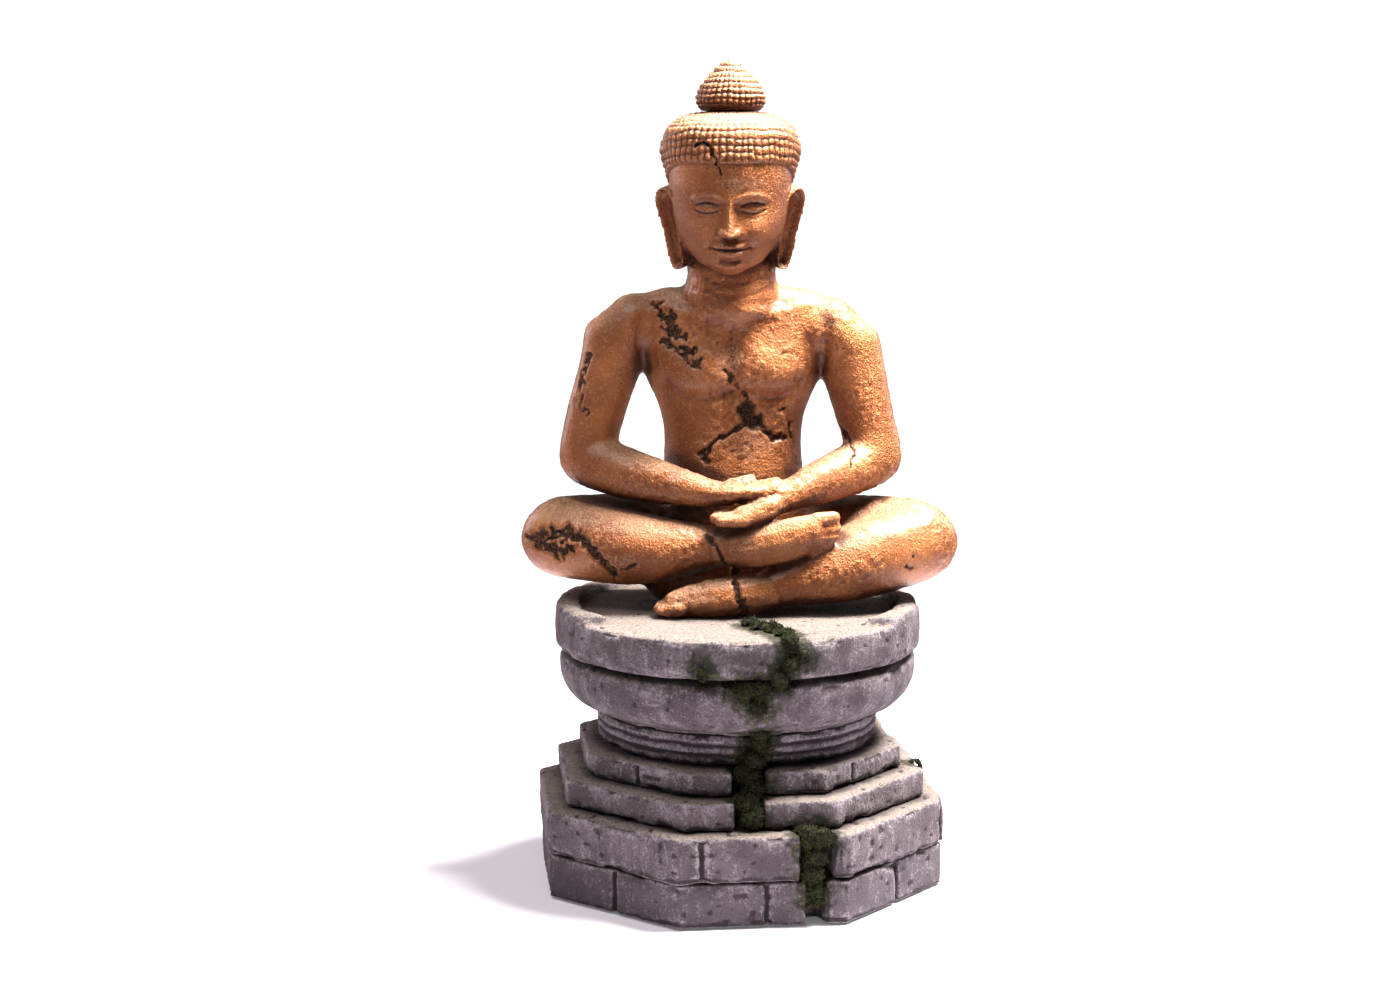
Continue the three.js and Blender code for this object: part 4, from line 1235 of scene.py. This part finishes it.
# %% How near the moss is
def mark_damp(pieces, tree, spread):
    """Keeps 1 for a point that touches the moss, falling to 0 at `spread` metres from it."""
    for piece in pieces:
        points = points_of(piece.data)
        near = np.zeros(len(points))
        for k, point in enumerate(points):
            found = tree.find_nearest(Vector(point), spread)
            if found[0] is not None:
                near[k] = 1 - found[3] / spread
        keep(piece.data, "damp", near)


MOSS_SPREAD = 7 * MM
tree, _ = tree_of(MOSSES)
mark_damp([*stones.values(), *castings.values()], tree, MOSS_SPREAD)
print("damp reaches", MOSS_SPREAD / MM, "mm from the moss")

# %% [markdown]
# ## Painted shade and dark paint in the recesses
#
# Recesses are painted darker. This is painted shade, standing in for the shade that falls in a crease, under
# a knee or between two courses, and it also stands for thin dark paint that a painter floods on and wipes off
# again, so that it stays wherever a cloth can't reach. To find those places, all the skins are counted into a
# grid of small cubes, the count is blurred, and each point looks up how much surface lies close in front of
# it:
# little on an open face, much in a crease, under a knee or between two courses.

# %% How crowded each point is
CUBE = 1.0 * MM
LOOK_AHEAD = 4.5 * MM
BOX_BLURS = 3
BOX_WIDE = 5
CROWD_ROUNDS = 4  # evens out the steps between cubes
MARGIN = 20 * MM  # empty cubes round the statue, for the blur to spread into


def blurred(grid, axis):
    """A running mean of BOX_WIDE cells along one axis."""
    total = np.cumsum(np.insert(grid, 0, 0, axis=axis), axis=axis)
    after = np.take(total, range(BOX_WIDE, total.shape[axis]), axis=axis)
    before = np.take(total, range(total.shape[axis] - BOX_WIDE), axis=axis)
    pad = [(0, 0)] * 3
    pad[axis] = (BOX_WIDE // 2, BOX_WIDE // 2)
    return np.pad((after - before) / BOX_WIDE, pad)


def mark_crowding(pieces):
    """Keeps, for each point, how much surface lies close in front of it."""
    gathered = [points_of(piece.data) for piece in pieces]
    low = np.min([p.min(0) for p in gathered], axis=0) - MARGIN
    high = np.max([p.max(0) for p in gathered], axis=0) + MARGIN
    shape = np.ceil((high - low) / CUBE).astype(int)
    count = np.zeros(shape.prod())
    for piece, points in zip(pieces, gathered):
        face = piece.data.polygons[len(piece.data.polygons) // 2].area  # all of a skin's faces are alike
        cell = np.ravel_multi_index(((points - low) / CUBE).astype(int).T, shape)
        count += np.bincount(cell, minlength=len(count)) * face / CUBE**2
    count = count.reshape(shape)
    for _ in range(BOX_BLURS):
        for axis in range(3):
            count = blurred(count, axis)
    for piece, points in zip(pieces, gathered):
        ahead = points + normals_of(piece.data) * LOOK_AHEAD
        crowd = count[tuple(((ahead - low) / CUBE).astype(int).T)]
        edges = edges_of(piece.data)
        for _ in range(CROWD_ROUNDS):
            crowd = averaged(crowd, edges)
        keep(piece.data, "crowd", crowd)


mark_crowding([*stones.values(), *castings.values()])
crowd = np.array([a.value for a in castings["torso"].data.attributes["crowd"].data])
print("crowding on the torso, lowest, middle and highest:", np.round(np.percentile(crowd, (0, 50, 100)), 3))

# %% [markdown]
# ## Gilt
#
# The gilt is bronze-coloured metallic paint over a sandy undercoat: half metal, fairly rough, brown where it
# lies deep and pale where it has rubbed off the grains; that pale is also a painted glint. Faces that look up
# get a painted cream highlight, and crowded recesses a painted shade, which also stands for dark paint washed
# in. In the cracks it is nearly black. A painter works in layers, and so does the material: each line lays
# one colour over the last, where its mask is high.

# %% Gilt paint
COPPER_DARK, COPPER = (0.27, 0.078, 0.021), (0.42, 0.145, 0.044)
# the first is pale paint rubbed on the grains and also a painted glint
RUBBED_GRAIN_AND_GLINT, DARK_GRAIN = (0.78, 0.44, 0.22), (0.085, 0.024, 0.010)
# painted highlight: the cream that faces looking up are mixed towards
HIGHLIGHT_CREAM = (0.70, 0.50, 0.34)
PEPPER = (0.05, 0.018, 0.010)
# painted shade in the recesses, which also stands for dark paint washed in
BROWN_SHADE_AND_WASH = (0.075, 0.020, 0.008)
PLASTER = (0.50, 0.30, 0.20)
CRACK, CRACK_DUST = (0.018, 0.009, 0.006), (0.16, 0.065, 0.032)
MOSS_STAIN = (0.016, 0.014, 0.007)

gilt = Finish("gilt_paint", IOR=1.5, Specular_IOR_Level=0.5, Coat_Roughness=0.36, Coat_IOR=1.6)
broken = gilt.attribute("broken")
bare = gilt.attribute("bare")
patches = gilt.noise(14 * MM, 3)
grit = gilt.noise(0.7 * MM, 3, 0.65)
specks = gilt.cells(1.9 * MM)
deep = gilt.attribute("hollow").over(-0.6)

tone = gilt.mix(patches.step(0.35, 0.7), COPPER_DARK, COPPER)
# pale on the high grains: rubbed paint, and also a painted glint
tone = gilt.mix((grit - 0.5 + deep * -0.2).step(0.02, 0.3) * 0.32, tone, RUBBED_GRAIN_AND_GLINT)
tone = gilt.mix((deep * 0.4 + (0.5 - grit) * 0.8).step(0.10, 0.7) * 0.85, tone, DARK_GRAIN)
# painted highlight: faces that look up, where the grain and patches are high, are mixed towards cream
top_highlight = gilt.upward().step(0.30, 0.95) * (grit + patches * 0.5).step(0.45, 0.95)
tone = gilt.mix(top_highlight * 0.55, tone, HIGHLIGHT_CREAM)
pepper = (1 - specks.step(0.10, 0.22)) * (gilt.noise(6 * MM, 2) - 0.1).step(0.33, 0.55)
tone = gilt.mix(pepper * 0.75, tone, PEPPER)
# painted shade in crowded recesses, under knees and between parts; it also stands for dark paint washed in
shade_and_wash = (gilt.attribute("crowd") + (gilt.noise(5 * MM, 3) - 0.5) * 0.12).step(0.06, 0.20)
tone = gilt.mix(shade_and_wash * 0.88, tone, BROWN_SHADE_AND_WASH)
tone = gilt.mix(bare * grit.step(0.42, 0.6) * 0.6, tone, PLASTER)
tone = gilt.mix(broken.step(0.25, 0.75), tone, gilt.mix(grit.step(0.42, 0.62), CRACK, CRACK_DUST))
mossy = (gilt.attribute("damp") + (gilt.noise(1.6 * MM, 2) - 0.5) * 0.8).step(0.5, 0.85)
tone = gilt.mix(mossy * 0.9, tone, MOSS_STAIN)

matt = (broken + bare * 0.5 + mossy).clamp()
gilt_paint = gilt.finish(
    Base_Color=tone,
    Metallic=0.72 - matt * 0.35,
    Roughness=0.47 + matt * 0.4 + (grit - 0.5) * 0.2,
    Coat_Weight=(1 - matt) * 0.45,
    Normal=gilt.rough(gilt.noise(0.42 * MM, 2), 0.12 * MM, gilt.rough(grit, 0.85 * MM)),
)

# %% [markdown]
# ## Stone, moss and the hidden parts
#
# The stone is cast grey, washed with dark paint that stays in the pits, and brushed with nearly dry pale
# paint that catches only on what stands proud. Tops are a warmer beige, partly from wear and partly as a
# painted top light. Near the floor it is darker. Crowded recesses get a painted shade, which also stands for
# dark paint washed in.

# %% Stone
GREY_DARK, GREY = (0.076, 0.058, 0.066), (0.132, 0.106, 0.117)
# the grey that the stone takes near the floor
GREY_NEAR_FLOOR = (0.062, 0.050, 0.062)
DRY_BRUSHED = (0.34, 0.30, 0.335)
# the beige of the tops: partly wear, partly painted top light
BEIGE_DARK, BEIGE = (0.13, 0.102, 0.092), (0.31, 0.255, 0.225)
PIT, STIPPLE = (0.030, 0.022, 0.026), (0.035, 0.026, 0.030)
# the first is painted shade in the recesses, which also stands for dark paint washed in
GREY_SHADE_AND_WASH, JOINT = (0.020, 0.014, 0.015), (0.022, 0.016, 0.018)
GREEN_DARK, GREEN = (0.014, 0.014, 0.009), (0.065, 0.07, 0.018)

stone = Finish("cast_stone", Specular_IOR_Level=0.3)
hollow = stone.attribute("hollow")
grit = stone.noise(0.8 * MM, 4, 0.7)
cloud = stone.noise(9 * MM, 3, 0.6)
streak = stone.noise(4 * MM, 3, 0.6, stretch=(0.5, 0.5, 2.4))
low = 1 - stone.height().step(4 * MM, 30 * MM)

tone = stone.mix(cloud.step(0.35, 0.65), GREY_DARK, GREY)
# darker towards the floor
tone = stone.mix(low * 0.55, tone, GREY_NEAR_FLOOR)
mottle = (streak - 0.5) * 0.45 + (cloud - 0.5) * 0.4
brushed = (grit - 0.5 - low * 0.05 - hollow * 0.10 + mottle).step(0.0, 0.30)
tone = stone.mix(brushed * 0.68, tone, DRY_BRUSHED)
# tops are a warmer beige: partly wear, partly painted top light
top_wear_and_light = stone.mix(grit.step(0.3, 0.7), BEIGE_DARK, BEIGE)
tone = stone.mix(stone.upward().step(0.55, 0.9) * 0.85, tone, top_wear_and_light)
pitted = (hollow * 0.35 + stone.attribute("pit") * 0.3 + (0.5 - grit) * 0.9).step(0.14, 0.6)
tone = stone.mix(pitted * 0.9, tone, PIT)
stipple = (1 - stone.cells(1.0 * MM).step(0.14, 0.28)) * stone.noise(5 * MM, 2).step(0.3, 0.5)
tone = stone.mix(stipple * 0.85, tone, STIPPLE)
# painted shade in crowded recesses, between courses and under the legs; it also stands for dark paint washed
# in
shade_and_wash = (stone.attribute("crowd") + (stone.noise(6 * MM, 3) - 0.5) * 0.14).step(0.10, 0.34)
tone = stone.mix(shade_and_wash * 0.93, tone, GREY_SHADE_AND_WASH)
tone = stone.mix((stone.attribute("joint") - grit * 0.5).step(0.1, 0.6) * 0.9, tone, JOINT)
mossy = (stone.attribute("damp") + (stone.noise(2.2 * MM, 3) - 0.5) * 1.2).step(0.36, 0.75)
green = stone.mix(stone.noise(1.1 * MM, 2).step(0.5, 0.72), GREEN_DARK, GREEN)
tone = stone.mix(mossy * 0.92, tone, green)

cast_stone = stone.finish(
    Base_Color=tone,
    Roughness=0.82 + (grit - 0.5) * 0.2,
    Normal=stone.rough(stone.noise(0.45 * MM, 2), 0.18 * MM, stone.rough(grit, 0.8 * MM)),
)

# %% [markdown]
# Dead moss is nearly black. Living moss is olive at its tips, and only here and there, so the green follows
# how far out along its blade a point lies, times a coarse noise that says where the moss is alive.

# %% Moss
FLOCK_DEAD, FLOCK_DRY, FLOCK_TIP = (0.007, 0.007, 0.004), (0.020, 0.022, 0.008), (0.13, 0.145, 0.035)

flock = Finish("moss_flock", Roughness=0.95, Specular_IOR_Level=0.15)
alive = flock.noise(4.5 * MM, 2).step(0.42, 0.62)
tone = flock.mix(flock.noise(1.2 * MM, 2).step(0.35, 0.7), FLOCK_DEAD, FLOCK_DRY)
tone = flock.mix(flock.attribute("tip").step(0.4, 1.0) * alive * 0.7, tone, FLOCK_TIP)
moss_flock = flock.finish(Base_Color=tone)

# %% [markdown]
# The dowel and the pins are drawn steel bar, which has fine streaks along its length; the dowel stands
# upright, so the noise is stretched upwards. The pads are dull black rubber.

# %% Hidden metal and rubber
steel = Finish("steel_pin", Metallic=1.0)
streaks = steel.noise(1.5 * MM, 2, stretch=(1, 1, 12))
steel_pin = steel.finish(
    Base_Color=steel.mix(streaks, (0.52, 0.52, 0.53), (0.62, 0.62, 0.62)),
    Roughness=0.28 + streaks * 0.15,
    Normal=steel.rough(streaks, 0.02 * MM),
)
rubber = Finish("pad_rubber", Specular_IOR_Level=0.3)
dimple = rubber.noise(0.6 * MM, 3)
pad_rubber = rubber.finish(
    Base_Color=rubber.mix(dimple, (0.015, 0.015, 0.015), (0.035, 0.034, 0.033)),
    Roughness=0.75 + dimple * 0.15,
    Normal=rubber.rough(dimple, 0.05 * MM),
)

# %% [markdown]
# A piece made here holds its material in its mesh. A CAD body's mesh stays as it came, so its material goes
# into the slots of the object instead.

# %% Give every piece its finish
for pieces, material in ((stones, cast_stone), (castings, gilt_paint), (mosses, moss_flock)):
    for piece in pieces.values():
        piece.data.materials.clear()
        piece.data.materials.append(material)

finished = {*STONES, *MOSSES, *castings}
for node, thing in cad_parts.items():
    if node in finished:
        continue
    material = pad_rubber if node.startswith("foot_pad") else steel_pin
    for slot in thing.material_slots:
        slot.link = "OBJECT"
        slot.material = material
    print(node, "gets", material.name)

# %% [markdown]
# ## Floor and light
#
# The floor is a plain pale sheet. It fades out round the statue, so that it runs into the white world without
# a horizon, and it is never quite solid: the white that shows through keeps the shadow light.

# %% Floor
FLOOR_SIZE = 6.0
FLOOR_FADE = (0.09, 0.34)  # metres from the middle: where the sheet starts to fade, and where it is gone
FLOOR_SOLID = 0.9
SHEET_DARK, SHEET = (0.80, 0.75, 0.85), (0.83, 0.78, 0.87)

floor_made = bmesh.new()
bmesh.ops.create_grid(floor_made, x_segments=1, y_segments=1, size=FLOOR_SIZE / 2)
floor_mesh = bpy.data.meshes.new("floor")
floor_made.to_mesh(floor_mesh)
floor_made.free()
floor = new_object("floor", floor_mesh)
paper = Finish("floor_paper", Roughness=0.6, Specular_IOR_Level=0.2)
away = paper.node("ShaderNodeVectorMath", {"operation": "LENGTH"}, {0: paper.place}, output="Value")
floor_mesh.materials.append(paper.finish(
    Base_Color=paper.mix(paper.noise(0.3, 2), SHEET_DARK, SHEET),
    Alpha=(1 - away.step(*FLOOR_FADE)) * FLOOR_SOLID,
))

# %% [markdown]
# The key light stands high on the right, just behind the statue's middle, so that it rakes down over the
# figure and every hollow shows. A broad weak light overhead on the left keeps the chest and lap from going
# black, a very weak one fills in from the front, and two low ones behind draw a rim along the edges.

# %% Lights
AIM = Vector((0, 0, 0.12))
# name, place and width in metres, power in watts, colour
LAMPS = [
    ("key", (0.44, 0.06, 1.07), 0.42, 78, (1.0, 0.96, 0.90)),
    ("overhead", (-0.28, -0.38, 1.12), 0.70, 7.5, (1.0, 0.95, 0.90)),
    ("fill", (-0.8, -0.9, 0.60), 0.9, 1.2, (1.0, 0.92, 0.92)),
    ("edge_left", (-0.75, 0.5, 0.35), 0.5, 3.2, (1.0, 0.93, 0.97)),
    ("edge_right", (0.75, 0.6, 0.35), 0.5, 2.2, (1.0, 0.93, 0.97)),
]


def softbox(name, place, size, power, colour):
    """A round area light that looks at the statue."""
    data = bpy.data.lights.new(name, "AREA")
    data.shape = "DISK"
    data.size = size
    data.energy = power
    data.color = colour
    lamp = new_object(name, data)
    lamp.location = place
    lamp.rotation_euler = (AIM - Vector(place)).to_track_quat("-Z", "Y").to_euler()
    print(name, "light,", power, "W")


for lamp in LAMPS:
    softbox(*lamp)

# %% [markdown]
# The world has two strengths. The camera sees it as plain white, and everything else is lit by it only
# weakly, because an even light from all round would flatten the relief.

# %% World
WORLD_LIGHT, WORLD_SEEN = 0.13, 1.2
WORLD_TINT, WHITE = (0.97, 0.96, 1.0, 1), (1.0, 1.0, 1.0, 1)

world = bpy.data.worlds.new("studio")
world.use_nodes = True
sky = world.node_tree
back = sky.nodes["Background"]
seen = sky.nodes.new("ShaderNodeBackground")
for shader, colour, strength in ((back, WORLD_TINT, WORLD_LIGHT), (seen, WHITE, WORLD_SEEN)):
    shader.inputs["Color"].default_value = colour
    shader.inputs["Strength"].default_value = strength
rays = sky.nodes.new("ShaderNodeLightPath")
either = sky.nodes.new("ShaderNodeMixShader")
sky.links.new(rays.outputs["Is Camera Ray"], either.inputs[0])
sky.links.new(back.outputs[0], either.inputs[1])
sky.links.new(seen.outputs[0], either.inputs[2])
sky.links.new(either.outputs[0], sky.nodes["World Output"].inputs["Surface"])
scene.world = world
scene.view_settings.view_transform = "Standard"
print("the world lights with strength", WORLD_LIGHT, "and is seen at", WORLD_SEEN)
